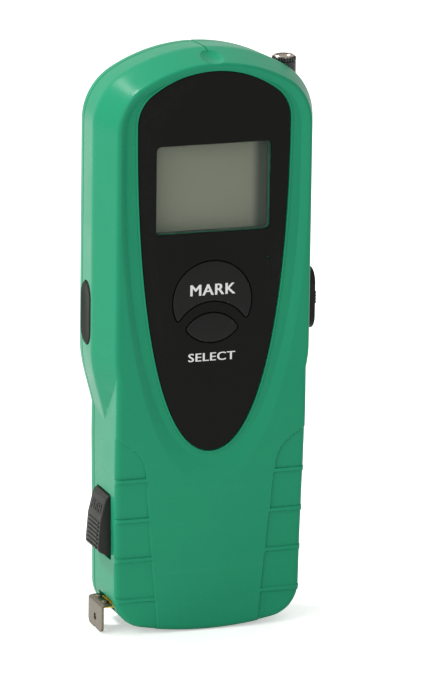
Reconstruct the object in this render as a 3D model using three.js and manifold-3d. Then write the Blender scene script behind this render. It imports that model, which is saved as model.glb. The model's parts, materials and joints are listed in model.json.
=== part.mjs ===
/**
 * Hand-held wall detector with a laser level and a pull-out tape measure.
 *
 * Millimetres. +X is the user's right, +Y points at the wall behind the tool, +Z is up.
 * The flat back lies on y = 0 and the face looks towards -Y. Heights in this file are counted
 * from the foot of the case; at the end the group is lowered so that its origin is the middle
 * of the flat back.
 */
import * as THREE from 'three';
import { mergeVertices } from 'three/addons/utils/BufferGeometryUtils.js';
import Module from 'manifold-3d';

const wasm = await Module();
wasm.setup();

// ---------------------------------------------------------------- driving dimensions

const BACK_CENTRE = 95; // height of the origin above the foot
const WALL = 2; // thickness of the moulded case
const GAP = 0.3; // clearance between neighbouring pieces
const ROUND_STEPS = 16; // facets on a small cylinder

const HANDLE = {
  footHalf: 31.3, // half width just above the foot
  waistHalf: 32, // half width below the head
  waistHeight: 62,
  top: 100, // the handle block ends hidden inside the head
  depth: 26,
  swell: 35, // height from which the face rises towards the head
  footRadius: 118, // the foot is one wide arc
  cornerRadius: 11,
};

const HEAD = {
  foot: 62,
  height: 190,
  lowHalf: 31.2, // half width where the shoulder dives into the handle
  half: 36.9, // half width at the ridge line
  shoulderTop: 93,
  cornerRadius: 20,
  crownRadius: 53.6,
  ridgeDepth: 15, // side wall from the back to the ridge
  depth: 27.8, // crest of the bevelled front
  backInset: 0.8,
  bevelInset: 4.4,
  crownBevelInset: 3,
};

const SPLIT = 3.65; // depth of the parting line between the two cases
const DISH_DEPTH = 26.3; // shallow dish around the face panel
const PANEL = { front: 26.2, back: 25.4, half: 25.5, bottom: 60, top: 184.2 };
const FLOOR = { front: 25.4, back: 23.4 }; // case wall under the panel

const WINDOW = { half: 19.1, low: 131.9, high: 160.6, radius: 1.5 };
const LENS_LAND = 1; // ledge around the window that the lens sits on
const BOARD = { front: 16.9, back: 15.3, half: 26.5, low: 88, high: 177 };

const MARK = { centre: 109.3, radius: 13.2, tipHalf: 11.1, tip: 103.3, notch: 109.4 };
const SELECT = { half: 8.8, centre: 100.4, above: 5.1, below: 4.6 };
const KEY = { front: 26.6, back: 22.2, flangeFront: 23.1, flange: 0.9, stemBack: 19.9 };
const KEY_SWITCH = { size: 6, front: 19.1, markHeight: 114, selectHeight: 99.5 };

const SIDE_KEY = { depth: 8.9, height: 104, halfWidth: 4.9, halfHeight: 10.2 };

const LASER = { x: 29.3, depth: 8, top: 184.2, radius: 3.9, low: 152 };

const BATTERY = { width: 46.5, height: 26.5, depth: 17.5, left: -26.5, low: 55.2, back: 2.6 };
const DOOR = { half: 25.4, low: 52.9, high: 82.2, thick: 1.9 };

const TAPE = {
  depth: 14.2, // centre line of the blade, measured from the back
  width: 13,
  reelX: 4,
  reelHeight: 27,
  coilRadius: 18,
  coreRadius: 9.3,
  flangeRadius: 20,
  blade: 0.4,
};
const HOOK = { outer: -34.5, thick: 0.8, half: 7, low: 0.3, high: 10.4, rivetX: -32.2, tabEnd: -31 };
const LOCK = { front: 20.6, back: 7.1, low: 25.7, high: 45.7, pivotX: -28.2, pivotHeight: 44 };

const CASE_SCREWS = [[-30.3, 134], [30.3, 134], [0, 181], [-20, 5.2], [25, 9.2]];
const BOARD_SCREWS = [[-23.6, 96], [23.6, 96], [-22.6, 173], [22.6, 173]];

// ---------------------------------------------------------------- solids from geometry

/** Closed solid from a three.js geometry. */
function solid(geometry) {
  const bare = geometry.clone();
  bare.deleteAttribute('normal');
  bare.deleteAttribute('uv');
  const merged = mergeVertices(bare, 1e-4);
  const mesh = new wasm.Mesh({
    numProp: 3,
    vertProperties: new Float32Array(merged.attributes.position.array),
    triVerts: new Uint32Array(merged.index.array),
  });
  return new wasm.Manifold(mesh);
}

/** three.js geometry from a solid. */
function geometryOf(body) {
  const mesh = body.getMesh();
  const geometry = new THREE.BufferGeometry();
  geometry.setAttribute('position', new THREE.BufferAttribute(new Float32Array(mesh.vertProperties), 3));
  geometry.setIndex(new THREE.BufferAttribute(new Uint32Array(mesh.triVerts), 1));
  geometry.computeVertexNormals();
  return geometry;
}

/** Box between two corners. */
function block([x0, y0, z0], [x1, y1, z1]) {
  const geometry = new THREE.BoxGeometry(x1 - x0, y1 - y0, z1 - z0);
  geometry.translate((x0 + x1) / 2, (y0 + y1) / 2, (z0 + z1) / 2);
  return solid(geometry);
}

/** Shape drawn in x and z, extruded between two depths behind the face. */
function slab(shape, front, back, curveSegments = 4) {
  const depth = front - back;
  const geometry = new THREE.ExtrudeGeometry(shape, { depth, bevelEnabled: false, curveSegments });
  geometry.rotateX(Math.PI / 2);
  geometry.translate(0, -back, 0);
  return solid(geometry);
}

/** Shape drawn in y and z, extruded between two x values. */
function sideSlab(shape, x0, x1, curveSegments = 5) {
  const geometry = new THREE.ExtrudeGeometry(shape, { depth: x1 - x0, bevelEnabled: false, curveSegments });
  const along = new THREE.Matrix4().makeBasis(
    new THREE.Vector3(0, 1, 0),
    new THREE.Vector3(0, 0, 1),
    new THREE.Vector3(1, 0, 0),
  );
  geometry.applyMatrix4(along);
  geometry.translate(x0, 0, 0);
  return solid(geometry);
}

/** Round bar along Y between two depths. */
function rodBack(x, z, radius, front, back, steps = ROUND_STEPS) {
  const geometry = new THREE.CylinderGeometry(radius, radius, front - back, steps);
  geometry.translate(x, -(front + back) / 2, z);
  return solid(geometry);
}

/** Upright round bar between two heights. */
function rodUp(x, depth, radius, low, high, steps = ROUND_STEPS) {
  const geometry = new THREE.CylinderGeometry(radius, radius, high - low, steps);
  geometry.rotateX(Math.PI / 2);
  geometry.translate(x, -depth, (low + high) / 2);
  return solid(geometry);
}

/** Ring or spool turned about the reel axis, from a closed [radius, depth] profile. */
function turnedOnReel(profile, steps = 28) {
  const points = [...profile, profile[0]].map(([radius, depth]) => new THREE.Vector2(radius, -depth));
  const geometry = new THREE.LatheGeometry(points, steps);
  geometry.translate(TAPE.reelX, 0, TAPE.reelHeight);
  return solid(geometry);
}

/** Tube along a smooth path. */
function tube(points, radius) {
  const path = new THREE.CatmullRomCurve3(points.map((p) => new THREE.Vector3(...p)));
  const section = new THREE.Shape().absarc(0, 0, radius, 0, Math.PI * 2);
  return solid(new THREE.ExtrudeGeometry(section, { steps: 12, extrudePath: path, curveSegments: 4 }));
}

/** Upright rectangle with round corners, from centre and half sizes. */
function roundedRect(cx, cy, halfX, halfY, radius) {
  const shape = new THREE.Shape();
  const right = cx + halfX - radius;
  const left = cx - halfX + radius;
  const high = cy + halfY - radius;
  const low = cy - halfY + radius;
  shape.absarc(right, high, radius, 0, Math.PI / 2);
  shape.absarc(left, high, radius, Math.PI / 2, Math.PI);
  shape.absarc(left, low, radius, Math.PI, Math.PI * 1.5);
  shape.absarc(right, low, radius, Math.PI * 1.5, Math.PI * 2);
  return shape;
}

// ---------------------------------------------------------------- case outlines

/** Rows on an arc, each with its outward normal. */
function arcRows(cx, cz, radius, from, to, steps) {
  const rows = [];
  for (let i = 0; i <= steps; i += 1) {
    const angle = from + ((to - from) * i) / steps;
    const nx = Math.cos(angle);
    const nz = Math.sin(angle);
    rows.push({ x: cx + radius * nx, z: cz + radius * nz, nx, nz });
  }
  return rows;
}

/** Half width of the head's ridge line at a height. */
function headHalf(z) {
  const t = THREE.MathUtils.smoothstep(z, HEAD.foot, HEAD.shoulderTop);
  return HEAD.lowHalf + (HEAD.half - HEAD.lowHalf) * t;
}

/** Right-hand outline of the head at the ridge, from its foot to the crown. */
function headRows() {
  const cornerX = HEAD.half - HEAD.cornerRadius;
  const crownZ = HEAD.height - HEAD.crownRadius;
  const rise = Math.sqrt((HEAD.crownRadius - HEAD.cornerRadius) ** 2 - cornerX ** 2);
  const meet = Math.atan2(rise, cornerX);
  const almostUp = Math.PI / 2 - 0.03;
  const rows = [];
  for (let z = HEAD.foot; z < HEAD.shoulderTop + 5; z += 6) {
    rows.push({ x: headHalf(z), z, nx: 1, nz: 0 });
  }
  rows.push(...arcRows(cornerX, crownZ + rise, HEAD.cornerRadius, 0, meet, 5));
  rows.push(...arcRows(0, crownZ, HEAD.crownRadius, meet, almostUp, 4).slice(1));
  return rows;
}

/** Right-hand outline of the handle, from the foot up into the head. */
function handleRows() {
  const cornerX = HANDLE.footHalf - HANDLE.cornerRadius;
  const reach = HANDLE.footRadius - HANDLE.cornerRadius;
  const drop = Math.sqrt(reach ** 2 - cornerX ** 2);
  const meet = Math.atan2(-drop, cornerX);
  const almostDown = -Math.PI / 2 + 0.02;
  const cornerZ = HANDLE.footRadius - drop;
  const rows = [
    ...arcRows(0, HANDLE.footRadius, HANDLE.footRadius, almostDown, meet, 3),
    ...arcRows(cornerX, cornerZ, HANDLE.cornerRadius, meet, 0, 4).slice(1),
  ];
  for (let z = HANDLE.swell; z <= HANDLE.top; z += 6.5) {
    const t = Math.min((z - cornerZ) / (HANDLE.waistHeight - cornerZ), 1);
    rows.push({ x: THREE.MathUtils.lerp(HANDLE.footHalf, HANDLE.waistHalf, t), z, nx: 1, nz: 0 });
  }
  return rows;
}

/** Depth of the face at a height: it rises gently from the handle to the head. */
function faceDepth(z) {
  const rise = THREE.MathUtils.smoothstep(z, HANDLE.swell, HEAD.shoulderTop);
  return THREE.MathUtils.lerp(HANDLE.depth, HEAD.depth, rise);
}

/**
 * Closed solid, the same on the left and right, lofted through outlines from back to front.
 * Each level gives the depth and the inset of every row.
 */
function loft(rows, levels) {
  const positions = [];
  const indices = [];
  const count = rows.length;
  const ring = 2 * count;
  for (const level of levels) {
    const right = rows.map((row) => {
      const inset = level.inset(row);
      return [row.x - row.nx * inset, -level.depth(row), row.z - row.nz * inset];
    });
    const left = right.map(([x, y, z]) => [-x, y, z]).reverse();
    positions.push(...[...right, ...left].flat());
  }
  const quad = (a, b, c, d) => indices.push(a, b, c, a, c, d);
  for (let level = 0; level + 1 < levels.length; level += 1) {
    for (let i = 0; i < ring; i += 1) {
      const next = (i + 1) % ring;
      const back = level * ring;
      const front = back + ring;
      quad(back + i, back + next, front + next, front + i);
    }
  }
  const lastRing = (levels.length - 1) * ring;
  for (let i = 0; i + 1 < count; i += 1) {
    const across = ring - 1 - i;
    quad(lastRing + i, lastRing + i + 1, lastRing + across - 1, lastRing + across);
    quad(across, across - 1, i + 1, i);
  }
  const geometry = new THREE.BufferGeometry();
  geometry.setAttribute('position', new THREE.Float32BufferAttribute(positions, 3));
  geometry.setIndex(indices);
  return solid(geometry);
}

/** A level whose depth and inset are the same on every row. */
const flatLevel = (depth, inset) => ({ depth: () => depth, inset: () => inset });

/** Inset of the bevelled front of the head: wide at the sides, narrower over the crown. */
const bevel = (row) => THREE.MathUtils.lerp(HEAD.bevelInset, HEAD.crownBevelInset, row.nz ** 2);

/** A level just behind the face, which follows its rise. */
const faceLevel = (behind, inset) => ({ depth: (row) => faceDepth(row.z) - behind, inset });

/** Outside of the whole closed case. */
function caseBlock() {
  const handle = loft(handleRows(), [
    flatLevel(0, 1),
    flatLevel(1, 0),
    faceLevel(1.8, () => 0),
    faceLevel(0.5, () => 0.6),
    faceLevel(0, () => 1.7),
  ]);
  const head = loft(headRows(), [
    flatLevel(0, HEAD.backInset + 1),
    flatLevel(1, HEAD.backInset),
    flatLevel(HEAD.ridgeDepth, 0),
    faceLevel(0.5, bevel),
    faceLevel(0, (row) => bevel(row) + 0.7),
  ]);
  return handle.add(head);
}

/** Room inside the closed case. */
function caseRoom() {
  const frontWall = FLOOR.back - HEAD.ridgeDepth;
  const slope = frontWall / (HEAD.depth - HEAD.ridgeDepth);
  const handle = loft(handleRows(), [
    flatLevel(WALL, WALL),
    flatLevel(HANDLE.depth - 2.2, WALL),
  ]);
  const head = loft(headRows(), [
    flatLevel(WALL, HEAD.backInset + WALL),
    flatLevel(HEAD.ridgeDepth, WALL),
    { depth: () => FLOOR.back, inset: (row) => bevel(row) * slope + WALL + 0.6 },
  ]);
  return handle.add(head);
}

/** Outline of the face panel: arched top, sides that draw in to a round bottom. */
function panelShape(grow = 0) {
  const half = PANEL.half + grow;
  const corner = 12 + grow;
  const crown = 35 + grow;
  const cornerX = half - corner;
  const crownZ = PANEL.top + grow - crown;
  const rise = Math.sqrt((crown - corner) ** 2 - cornerX ** 2);
  const meet = Math.atan2(rise, cornerX);
  const shoulder = crownZ + rise;
  const bottom = PANEL.bottom - grow;
  const shape = new THREE.Shape();
  shape.moveTo(0, bottom);
  shape.bezierCurveTo(19.5 + grow, bottom, half, 120, half, shoulder);
  shape.absarc(cornerX, shoulder, corner, 0, meet);
  shape.absarc(0, crownZ, crown, meet, Math.PI - meet);
  shape.absarc(-cornerX, shoulder, corner, Math.PI - meet, Math.PI);
  shape.bezierCurveTo(-half, 120, -19.5 - grow, bottom, 0, bottom);
  return shape;
}

/** Outline of the shallow dish at a distance inside its crest. */
function dishShape(inset) {
  const rows = headRows().filter((row) => row.z > 150);
  const half = HEAD.half - HEAD.bevelInset - inset;
  const bottom = 48.3 + inset * 1.6;
  const shape = new THREE.Shape();
  shape.moveTo(0, bottom);
  shape.bezierCurveTo(21 - inset, bottom, half, 98, half, 150);
  const edge = rows.map((row) => {
    const total = bevel(row) + inset;
    return [row.x - row.nx * total, row.z - row.nz * total];
  });
  edge.forEach(([x, z]) => shape.lineTo(x, z));
  edge.reverse().forEach(([x, z]) => shape.lineTo(-x, z));
  shape.lineTo(-half, 150);
  shape.bezierCurveTo(-half, 98, -21 + inset, bottom, 0, bottom);
  return shape;
}

/** Crescent of the upper key, grown by a clearance. */
function markShape(grow = 0) {
  const { centre, radius, tipHalf, tip, notch } = MARK;
  const rise = notch - tip;
  const hollow = (tipHalf ** 2 + rise ** 2) / (2 * rise) - grow;
  const hollowZ = notch - hollow - grow;
  const tipX = tipHalf + grow * 0.7;
  const outer = Math.atan2(tip - grow - centre, tipX);
  const inner = Math.asin((tip - grow - hollowZ) / Math.hypot(tipX, tip - grow - hollowZ));
  const shape = new THREE.Shape();
  shape.absarc(0, centre, radius + grow, outer, Math.PI - outer);
  shape.absarc(0, hollowZ, hollow, Math.PI - inner, inner, true);
  return shape;
}

/** Eye of the lower key, from two shallow arcs. */
function selectShape(grow = 0) {
  const half = SELECT.half + grow;
  const shape = new THREE.Shape();
  const arc = (height, sign) => {
    const radius = (half ** 2 + height ** 2) / (2 * height);
    const centre = SELECT.centre + sign * (height - radius);
    const lean = Math.atan2(sign * (radius - height), half);
    if (sign > 0) {
      shape.absarc(0, centre, radius, lean, Math.PI - lean);
    } else {
      shape.absarc(0, centre, radius, Math.PI - lean, Math.PI * 2 + lean);
    }
  };
  arc(SELECT.above + grow, 1);
  arc(SELECT.below + grow, -1);
  return shape;
}

/** Display window opening, grown by a margin. */
function windowShape(grow = 0) {
  const middle = (WINDOW.low + WINDOW.high) / 2;
  const halfHeight = (WINDOW.high - WINDOW.low) / 2;
  return roundedRect(0, middle, WINDOW.half + grow, halfHeight + grow, WINDOW.radius + grow);
}

/** Upright oval on a side wall. */
function sideOval(grow = 0) {
  const { depth, height, halfWidth, halfHeight } = SIDE_KEY;
  const radius = halfWidth + grow - 0.05;
  return roundedRect(-depth, height, halfWidth + grow, halfHeight + grow, radius);
}

// ---------------------------------------------------------------- the two cases

const room = caseRoom();
const outside = caseBlock();

/** One side's grip pad outline between two heights, from the inner line to past the edge. */
function padCut(side, low, high) {
  const inner = (z) => THREE.MathUtils.mapLinear(z, 11.7, 51.7, 18, 21.6);
  const shape = new THREE.Shape();
  shape.moveTo(side * inner(low), low);
  if (high > 55) {
    shape.lineTo(side * inner(53), 53);
    shape.quadraticCurveTo(side * 22.6, 59.5, side * 31, 65.6);
    shape.lineTo(side * 34, 67);
    shape.lineTo(side * 34, low);
  } else {
    shape.lineTo(side * inner(high), high);
    shape.lineTo(side * 34, high);
    shape.lineTo(side * 34, low);
  }
  const face = faceDepth((Math.max(low, 0) + high) / 2);
  return slab(shape, face + 2, face - 0.6, 6);
}

/** Openings that both the case and its neighbours share: keys, switch, barrel, lock, tape. */
function caseOpenings() {
  const cuts = [
    slab(panelShape(GAP / 2), HEAD.depth + 1, FLOOR.front, 8),
    slab(windowShape(LENS_LAND), FLOOR.front + 1, FLOOR.front - 1),
    slab(windowShape(), FLOOR.front + 1, FLOOR.back - 1),
    slab(markShape(GAP), FLOOR.front + 1, FLOOR.back - 1, 8),
    slab(selectShape(GAP), FLOOR.front + 1, FLOOR.back - 1, 8),
    sideSlab(sideOval(GAP), -40, -33),
    block([33, -SIDE_KEY.depth - 2, 99], [40, -SIDE_KEY.depth + 2, 108.8]),
    rodUp(LASER.x, LASER.depth, LASER.radius + GAP, 165, 196),
    block([-36, -LOCK.front - GAP, LOCK.low - 1], [-27, -LOCK.back + GAP, LOCK.high + GAP]),
    block([-36, -TAPE.depth - 7, 7.2], [-27, -TAPE.depth + 7, 10.9]),
  ];
  const ribs = [2.2, 11.7, 25.2, 38.4, 51.7];
  for (const side of [-1, 1]) {
    ribs.forEach((height, i) => {
      const low = i === 0 ? -1 : height + 0.65;
      const high = i + 1 < ribs.length ? ribs[i + 1] - 0.65 : 67;
      cuts.push(padCut(side, low, high));
    });
  }
  return wasm.Manifold.union(cuts);
}

/** Dish around the panel, with a sloping rim. */
function dishCut() {
  const steps = [0.7, 2.3];
  const rise = (HEAD.depth - DISH_DEPTH) / steps.length;
  const cuts = steps.map((inset, i) => {
    const back = HEAD.depth - (i + 1) * rise;
    return slab(dishShape(inset), HEAD.depth + 1, back, 7);
  });
  return wasm.Manifold.union(cuts);
}

/** Front case: deep tub with the keys' openings, screw posts and dividing ribs. */
function frontCase() {
  const post = (x, z, radius, back) => rodBack(x, z, radius, FLOOR.back + 0.6, back);
  const shell = outside.subtract(room).intersect(block([-50, -40, -10], [50, -SPLIT - GAP / 2, 200]));
  const ribs = [
    block([-31, -HANDLE.depth + 1, 51.2], [31, -SPLIT - 1, 52.4]),
    block([-31, -HANDLE.depth + 1, 83.1], [31, -SPLIT - 1, 84.3]),
    ...CASE_SCREWS.map(([x, z]) => post(x, z, 2.6, SPLIT + GAP / 2)),
    ...BOARD_SCREWS.map(([x, z]) => post(x, z, 2.2, BOARD.front + GAP)),
    post(LOCK.pivotX, LOCK.pivotHeight, 2.2, LOCK.front + 0.9),
    post(TAPE.reelX, TAPE.reelHeight, 3.6, 22.9),
  ];
  const inner = wasm.Manifold.union(ribs).intersect(outside);
  const pilots = [
    ...CASE_SCREWS.map(([x, z]) => rodBack(x, z, 1.35, 14, 0, 8)),
    ...BOARD_SCREWS.map(([x, z]) => rodBack(x, z, 1.15, 22.5, 0, 8)),
    rodBack(LOCK.pivotX, LOCK.pivotHeight, 1.3, 24, 10, 10),
    rodBack(TAPE.reelX, TAPE.reelHeight, 2.3, 24, 10),
    block([20.5, -18, 81], [28, -9, 85]),
  ];
  const detents = [
    rodBack(0, 187.2, 3.8, 32, HEAD.depth - 1),
    block([-0.4, -HEAD.ridgeDepth - 8, HEAD.height - 0.5], [0.4, 0, HEAD.height + 2]),
  ];
  return shell
    .add(inner)
    .subtract(caseOpenings())
    .subtract(dishCut())
    .subtract(wasm.Manifold.union([...pilots, ...detents]));
}

/** Rear case: shallow lid with screw pockets and the battery opening. */
function rearCase() {
  const shell = outside.subtract(room).intersect(block([-50, -SPLIT + GAP / 2, -10], [50, 1, 200]));
  const pads = CASE_SCREWS.map(([x, z]) => rodBack(x, z, 3.6, SPLIT - GAP / 2, 1));
  const cuts = [
    ...CASE_SCREWS.map(([x, z]) => rodBack(x, z, 2.7, 1.8, -1)),
    ...CASE_SCREWS.map(([x, z]) => rodBack(x, z, 1.35, 5, -1, 8)),
    block([-DOOR.half - GAP, -5, DOOR.low - GAP], [DOOR.half + GAP, 2, DOOR.high + GAP]),
    block([-0.4, -5, HEAD.height - 1.6], [0.4, 1, HEAD.height + 2]),
  ];
  return shell
    .add(wasm.Manifold.union(pads).intersect(outside))
    .subtract(wasm.Manifold.union(cuts));
}

// ---------------------------------------------------------------- face, display and keys

/** Black sheet on the face, with the window and both key openings. */
function facePanel() {
  return slab(panelShape(-GAP / 2), PANEL.front, PANEL.back + 0.05, 8)
    .subtract(slab(windowShape(), 30, 20))
    .subtract(slab(markShape(GAP), 30, 20, 8))
    .subtract(slab(selectShape(GAP), 30, 20, 8));
}

/** Clear window that rests on the ledge under the panel. */
function lcdLens() {
  return slab(windowShape(LENS_LAND - GAP), FLOOR.front - 0.05, FLOOR.front - 0.9);
}

/** Dark frame between the window and the display glass. */
function lcdFrame() {
  return slab(windowShape(3.2), FLOOR.back - 0.1, 21.7).subtract(slab(windowShape(), 30, 20));
}

/** Display glass. */
function lcdGlass() {
  return slab(windowShape(2.8), 21.5, 19.3);
}

/** Conductive rubber strip from the display glass down to the board. */
function zebraStrip() {
  return block([-18, -19.1, WINDOW.low - 2], [18, -BOARD.front - 0.1, WINDOW.low - 0.2]);
}

/** Key cap with a retaining flange behind the case wall and a stem over its switch. */
function keyCap(shape, wideShape, stemHeight) {
  return slab(shape, KEY.front, KEY.flangeFront, 8)
    .add(slab(wideShape, KEY.flangeFront, KEY.back, 8))
    .add(rodBack(0, stemHeight, 1.6, KEY.back + 0.1, KEY.stemBack, 12));
}

/** Small push switch on the front of the board. */
function keySwitch(height) {
  const half = KEY_SWITCH.size / 2;
  return block([-half, -KEY_SWITCH.front + 0.4, height - half], [half, -BOARD.front - 0.05, height + half])
    .add(rodBack(0, height, 1.5, KEY_SWITCH.front, 17.5, 12));
}

/** Push key in the left edge of the head. */
function scanButton() {
  return sideSlab(sideOval(), -37.1, -33.5)
    .add(sideSlab(sideOval(1.1), -33.6, -32.8))
    .add(block([-32.9, -SIDE_KEY.depth - 1.2, 102.8], [-31.9, -SIDE_KEY.depth + 1.2, 105.2]));
}

/** Edge switch behind the left key. */
function scanSwitch() {
  return block([-30.6, -SIDE_KEY.depth - 3, 101], [-27, -SIDE_KEY.depth + 3, 107]);
}

/** Oval plate around the laser's thumb slide, on the right edge of the head. */
function laserSwitchPlate() {
  return sideSlab(sideOval(), 37, 38.7)
    .subtract(block([36, -SIDE_KEY.depth - 1.9, 99.1], [41, -SIDE_KEY.depth + 1.9, 108.7]));
}

/** Thumb slide of the laser. */
function laserSlider() {
  return block([34, -SIDE_KEY.depth - 1.5, 101.7], [40.2, -SIDE_KEY.depth + 1.5, 106.1])
    .add(block([33.2, -SIDE_KEY.depth - 3.4, 98.5], [34.2, -SIDE_KEY.depth + 3.4, 109.3]));
}

/** Slide switch behind the thumb slide. */
function laserSwitchBody() {
  return block([28.8, -SIDE_KEY.depth - 3, 99], [32.9, -SIDE_KEY.depth + 3, 108.5]);
}

// ---------------------------------------------------------------- electronics

/** Main circuit board. */
function mainBoard() {
  const middle = (BOARD.low + BOARD.high) / 2;
  const outline = roundedRect(0, middle, BOARD.half, (BOARD.high - BOARD.low) / 2, 6);
  const holes = BOARD_SCREWS.map(([x, z]) => rodBack(x, z, 1.3, 20, 10, 8));
  return slab(outline, BOARD.front, BOARD.back, 6).subtract(wasm.Manifold.union(holes));
}

/** Sounder can with its port. */
function buzzer() {
  return rodBack(14, 112, 6, BOARD.back - 0.2, 9).subtract(rodBack(14, 112, 1, 12, 8, 12));
}

/** Etched plate that senses the wall through the flat back. */
function sensorBoard() {
  return slab(roundedRect(0, 145, 21, 27, 3), 8.6, 7.6, 6);
}

/** Wound search coil for metal. */
function metalCoil() {
  const ring = rodBack(0, 145, 20, 6.6, 3.4, 28);
  return ring.subtract(rodBack(0, 145, 16.5, 8, 2, 28));
}

/** Laser housing that stands out of the right shoulder. */
function laserBarrel() {
  return rodUp(LASER.x, LASER.depth, LASER.radius, LASER.low, LASER.top - 2)
    .subtract(rodUp(LASER.x, LASER.depth, 2.2, LASER.top - 12, LASER.top));
}

/** Knurled ring around the laser's outlet. */
function laserLensRing() {
  const teeth = 18;
  const outline = new THREE.Shape();
  for (let i = 0; i < teeth * 2; i += 1) {
    const angle = (i / (teeth * 2)) * Math.PI * 2;
    const radius = i % 2 ? LASER.radius : LASER.radius - 0.3;
    const [x, y] = [radius * Math.cos(angle), radius * Math.sin(angle)];
    if (i === 0) {
      outline.moveTo(x, y);
    } else {
      outline.lineTo(x, y);
    }
  }
  outline.holes.push(new THREE.Path().absarc(0, 0, 1.9, 0, Math.PI * 2, true));
  const geometry = new THREE.ExtrudeGeometry(outline, { depth: 1.9, bevelEnabled: false, curveSegments: 8 });
  geometry.translate(LASER.x, -LASER.depth, LASER.top - 1.9);
  return solid(geometry);
}

/** Glass that fans the beam into a line. */
function laserLens() {
  return rodUp(LASER.x, LASER.depth, 1.6, LASER.top - 5, LASER.top - 1, 16);
}

// ---------------------------------------------------------------- battery

/** Nine volt block battery, lying across the handle. */
function battery() {
  const { left, width, back, depth, low, height } = BATTERY;
  const x1 = left + width;
  const middle = low + height / 2;
  const yMiddle = -(back + depth / 2);
  const can = block([left, -back - depth, low], [x1, -back, low + height]);
  const stud = (z, radius) => {
    const geometry = new THREE.CylinderGeometry(radius, radius, 2.4, 16);
    geometry.rotateZ(Math.PI / 2);
    geometry.translate(x1 + 1.1, yMiddle, z);
    return solid(geometry);
  };
  return can.add(stud(middle - 6.3, 2.9)).add(stud(middle + 6.3, 3.9));
}

/** Snap connector over the battery's studs. */
function batterySnap() {
  const x0 = BATTERY.left + BATTERY.width + 2.6;
  const middle = BATTERY.low + BATTERY.height / 2;
  const yMiddle = BATTERY.back + BATTERY.depth / 2;
  return sideSlab(roundedRect(-yMiddle, middle, 6, 11.6, 2), x0, x0 + 4);
}

/** Lead from the snap connector up to the board; the pair lie side by side. */
function batteryLead(shift) {
  const depth = 11 + shift;
  return tube(
    [
      [27.7, -depth, 67],
      [27.8, -depth, 73],
      [27.8, -depth, 79],
      [26.4, -depth, 82],
      [24.4, -depth, 85],
      [23.2 - shift, -Math.max(depth, 12.5), 88],
      [22.6 - shift, -13.9, 91],
    ],
    0.7,
  );
}

/** Battery door in the flat back, hinged along its lower edge. */
function batteryDoor() {
  const { half, low, high, thick } = DOOR;
  const lugs = [-16, 16].map((x) => block([x - 3, -thick - 1, low - 1.4], [x + 3, -thick - 0.4, low + 0.7]));
  const lugStems = [-16, 16].map((x) => block([x - 3, -thick - 0.6, low], [x + 3, -thick + 0.2, low + 0.7]));
  const gripCut = new THREE.CylinderGeometry(5, 5, 14, 24);
  gripCut.rotateZ(Math.PI / 2);
  gripCut.translate(0, 4.1, high - 4.5);
  return block([-half, -thick, low], [half, 0, high])
    .add(wasm.Manifold.union([...lugs, ...lugStems]))
    .subtract(solid(gripCut));
}

// ---------------------------------------------------------------- tape measure

const BLADE_FRONT = TAPE.depth + TAPE.width / 2;
const BLADE_BACK = TAPE.depth - TAPE.width / 2;
const BLADE_TOP = TAPE.reelHeight - TAPE.coilRadius - GAP;

/** Flanged spool with an open hub for the spring. */
function tapeDrum() {
  const front = BLADE_FRONT + 0.5;
  const back = BLADE_BACK - 0.5;
  return turnedOnReel([
    [2.4, front + 1],
    [TAPE.flangeRadius, front + 1],
    [TAPE.flangeRadius, front],
    [TAPE.coreRadius - GAP, front],
    [TAPE.coreRadius - GAP, back],
    [TAPE.flangeRadius, back],
    [TAPE.flangeRadius, back - 1],
    [7.9, back - 1],
    [7.9, front - 1],
    [2.4, front - 1],
  ]);
}

/** Wound blade on the spool. */
function tapeCoil() {
  return turnedOnReel([
    [TAPE.coreRadius, BLADE_FRONT + 0.1],
    [TAPE.coilRadius, BLADE_FRONT + 0.1],
    [TAPE.coilRadius, BLADE_BACK - 0.1],
    [TAPE.coreRadius, BLADE_BACK - 0.1],
  ]);
}

/** Clock spring in the hub that winds the blade back. */
function reelSpring() {
  return turnedOnReel([[3, 19.5], [7.5, 19.5], [7.5, 8.2], [3, 8.2]], 32);
}

/** Post that the spool turns on. */
function reelPost() {
  return rodBack(TAPE.reelX, TAPE.reelHeight, 1.95, 23.4, 2.3);
}

/** Straight stretch of blade from the spool out to the hook. */
function tapeBlade() {
  const end = HOOK.outer + HOOK.thick + GAP;
  const blade = block([end, -BLADE_FRONT, BLADE_TOP - TAPE.blade], [TAPE.reelX, -BLADE_BACK, BLADE_TOP]);
  return blade.subtract(wasm.Manifold.union(rivetPlaces().map((depth) => rodUp(HOOK.rivetX, depth, 0.9, 0, 20, 12))));
}

/** Depths of the two hook rivets. */
function rivetPlaces() {
  return [TAPE.depth - 3.4, TAPE.depth + 3.4];
}

/** Bent steel end hook with its hanging hole. */
function endHook() {
  const { outer, thick, half, low, high, rivetX, tabEnd } = HOOK;
  const tabLow = BLADE_TOP + 0.2;
  const plate = roundedRect(-TAPE.depth, (low + high) / 2, half, (high - low) / 2, 2);
  const hole = new THREE.CylinderGeometry(1.2, 1.2, 4, 20);
  hole.rotateZ(Math.PI / 2);
  hole.translate(outer, -TAPE.depth, 4);
  const notch = block([outer - 1, -TAPE.depth - 1, low - 1], [outer + 2, -TAPE.depth + 1, low + 1.2]);
  const tab = block([outer + 0.2, -BLADE_FRONT, tabLow], [tabEnd, -BLADE_BACK, tabLow + 0.7]);
  const rivetHoles = rivetPlaces().map((depth) => rodUp(rivetX, depth, 0.9, 0, 20, 12));
  return sideSlab(plate, outer, outer + thick)
    .add(tab)
    .subtract(solid(hole))
    .subtract(notch)
    .subtract(wasm.Manifold.union(rivetHoles));
}

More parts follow.
